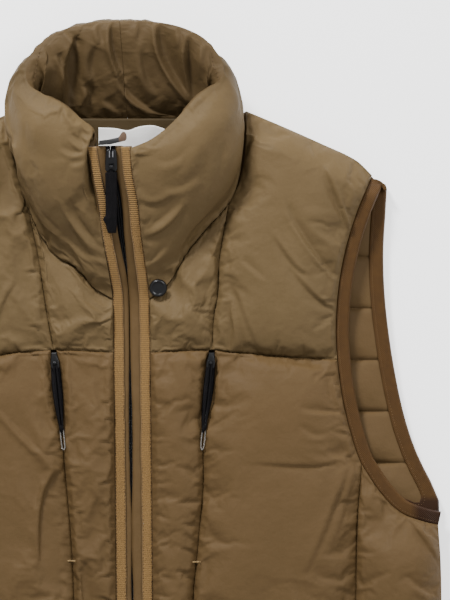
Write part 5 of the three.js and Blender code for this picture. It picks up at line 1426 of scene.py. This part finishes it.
# Snap. A plain black press stud holds the foot of the collar; its cap has a raised ring round a
# shallow dish and draws the padding down around it.
snap_profile = table(
    "r z", (0, 0), (7.6, 0), (8.1, 0.3), (8.2, 1.2), (7.9, 2.2), (7.3, 2.9), (6.6, 3.2), (6.0, 3.1),
    (5.4, 2.5), (4.9, 2.2), (3.4, 2.05), (1.6, 2.15), (0.8, 2.3), (0, 2.35),
)
turns = np.linspace(0, 2 * np.pi, 64, endpoint=False)
snap_rings = [np.stack([max(r, 0.02) * np.cos(turns), max(r, 0.02) * np.sin(turns), z + 0 * turns], -1) for r, z in zip(snap_profile["r"], snap_profile["z"])]
snap_place = Matrix.Translation((SNAP_X, SNAP_Y, SNAP_Z)) @ Matrix.Rotation(np.radians(16), 4, "X")
snap = add_hard("press_stud", tube(snap_rings), snap_place, black_metal, "vest", 50)
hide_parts("snap_cap")

# Armhole bindings. Brown tape is folded over each armhole's edge and stitched close to its inner side.
# The front one lies on the front panels' edge, the back one on the back panel's.
ARM_TOP_Y = 234.0
BINDING_LAP = 0.9
BACK_TURN_IN = (221.5, 229.8)
BACK_TURN_OUT = (230.4, 229.8)
over_shoulder = table(
    "in_x in_y out_x out_y", (219.4, 234.4, 227.2, 227.2), (222.6, 234.0, 227.4, 226.6), (226, 232.4, 227.7, 226),
    (229, 230, 228, 225.2), (231, 227, 228.4, 224.4), (231.8, 224, 228.8, 223.6),
)
under_arm = table(
    "in_x in_y out_x out_y", (241, -50, 240, -62), (249, -54.5, 250, -66.5), (256, -57, 262, -70), (260.5, -57, 272, -70),
    (262.4, -54.5, 279.2, -67), (262.6, -51, 278.8, -56),
)


def binding_surface(wire, pit):
    """Brown twill; it is drawn together under the arm, where a share from 0 to 1 darkens it as painted shade in the
    armpit.
    """
    twill = (wire.place("Y") * 3600 + wire.place("X") * 3600).sine()
    tone = wire.noise(150, 3, 0.6)
    brown = wire.blend(tone, srgb(60, 40, 17), srgb(80, 56, 27))
    return {
        "Base Color": wire.blend(pit.between(0.0, 0.85), brown, srgb(42, 23, 12)),
        "Roughness": 0.48 + tone * 0.2,
        "Normal": wire.bump(twill * 0.5 + tone, 0.00025),
    }


BINDING_GLOSS = {"Specular IOR Level": 0.15}
# Painted shade: each binding darkens towards the armpit, the front one by distance out from the middle, the back one
# by distance down past the pit.
front_binding = finish("front_binding", BINDING_GLOSS, lambda wire: binding_surface(
    wire, wire.math("ABSOLUTE", wire.place("X")) * 110 - 27.8
))
back_binding = finish("back_binding", BINDING_GLOSS, lambda wire: binding_surface(
    wire, (-0.0505 - wire.place("Y")) * 140
))


def edge_thread_surface(wire):
    twist = wire.noise(1500, 1)
    return {"Base Color": wire.blend(twist, srgb(90, 68, 40), srgb(112, 88, 56)), "Roughness": 0.6 + twist * 0.2}


edge_thread = finish("edge_thread", {}, edge_thread_surface)


def front_arm_path():
    """Inner and outer edges of the front binding, from the pit up to the shoulder tip."""
    x = np.linspace(arm_low["x"][-1], arm_low["x"][0], 40)[:-1]
    low = line(x, read(arm_low, "x", "y", x))
    y = np.linspace(ARM_JOINT_Y, ARM_TOP_Y, 110)
    points = even_path(np.concatenate([low, line(read(arm_high, "y", "x", y), y)]), 2.5)
    along = np.gradient(points, axis=0)
    for _ in range(6):
        along[1:-1] = (along[:-2] + 2 * along[1:-1] + along[2:]) / 4
    along /= np.linalg.norm(along, axis=1, keepdims=True)
    out = np.stack([along[:, 1], -along[:, 0]], -1)
    inner = np.concatenate([points + out * SEAM_INSET, line(over_shoulder["in_x"], over_shoulder["in_y"])])
    outer = np.concatenate([points + out * BINDING_WIDTH, line(over_shoulder["out_x"], over_shoulder["out_y"])])
    return inner, outer


def binding(name, inner, outer, under, top, sign, seed, twill):
    """A folded tape along an edge: rounded on its outer side, a little wavy on its inner one."""
    f = np.linspace(0, 1, 11)[None]
    wave = 0.25 * ripple(inner[:, :1], inner[:, 1:], 9, seed)
    point = lerp(inner[:, None], outer[:, None], f[..., None])
    fall = np.clip((f - 0.84) / 0.16, 0, 1)
    rounding = 1 - np.sqrt(np.maximum(0, 1 - fall ** 2))
    inner_dip = 0.35 * np.exp(-((f * BINDING_WIDTH / 0.8) ** 2))
    ditch = 0.35 * np.exp(-(((f * BINDING_WIDTH - 2.0) / 0.7) ** 2))
    middle = (under + top)[:, None] / 2
    z_top = lerp(top[:, None] - inner_dip - ditch + wave * 0.6 * (1 - f), middle + 0.1, rounding)
    z_low = lerp(under[:, None] + 0 * f, middle - 0.1, rounding)
    x = sign * point[..., 0]
    over = np.stack([x, point[..., 1], z_top], -1)
    made = add_wall(name, over, np.stack([x, point[..., 1], z_low], -1), twill, slot="brown_binding")
    return made, over


for sign in (-1, 1):
    hand = side_of(sign)
    inner, outer = front_arm_path()
    centre = (inner + outer) / 2
    under = front_under(centre[:, 0], centre[:, 1])
    body = rounded(from_outline(centre[:, 0], centre[:, 1]), 26)
    top = under + lerp(FRONT_EDGE_WALL, 6.2, body)
    edge, surface = binding(f"front_binding_{hand}", inner, outer, under, top, sign, 41 + sign, front_binding)
    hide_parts(f"armhole_binding_front_{hand}")
    stitches(f"front_binding_stitches_{hand}", surface[:, 2] + (0, 0, 0.1), UP, 1.3, 1.3, 0.6, 0.25, edge_thread, "brown_binding")
    outer, inner = [even_path(edge[edge[:, 1] > under_arm["in_y"][-1]], 2.5) for edge in back_arm_path()]
    inner = inner[np.linspace(0, len(inner) - 1, len(outer)).round().astype(int)]
    inner = inner + (inner - outer) * BINDING_LAP / BINDING_WIDTH
    inner = np.concatenate([line(under_arm["in_x"], under_arm["in_y"]), inner, [BACK_TURN_IN]])
    outer = np.concatenate([line(under_arm["out_x"], under_arm["out_y"]), outer, [BACK_TURN_OUT]])
    middle = (inner + outer) / 2
    top = np.where(np.arange(len(middle)) < len(under_arm["in_x"]), back_top(middle[:, 0], middle[:, 1]) + 1.2, 10.4)
    edge, surface = binding(f"back_binding_{hand}", inner, outer, np.minimum(4, top - 6.4), top, sign, 51 + sign, back_binding)
    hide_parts(f"armhole_binding_back_{hand}")
    stitches(f"back_binding_stitches_{hand}", surface[:, 2] + (0, 0, 0.1), UP, 1.3, 1.3, 0.6, 0.25, edge_thread, "brown_binding")

low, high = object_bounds()
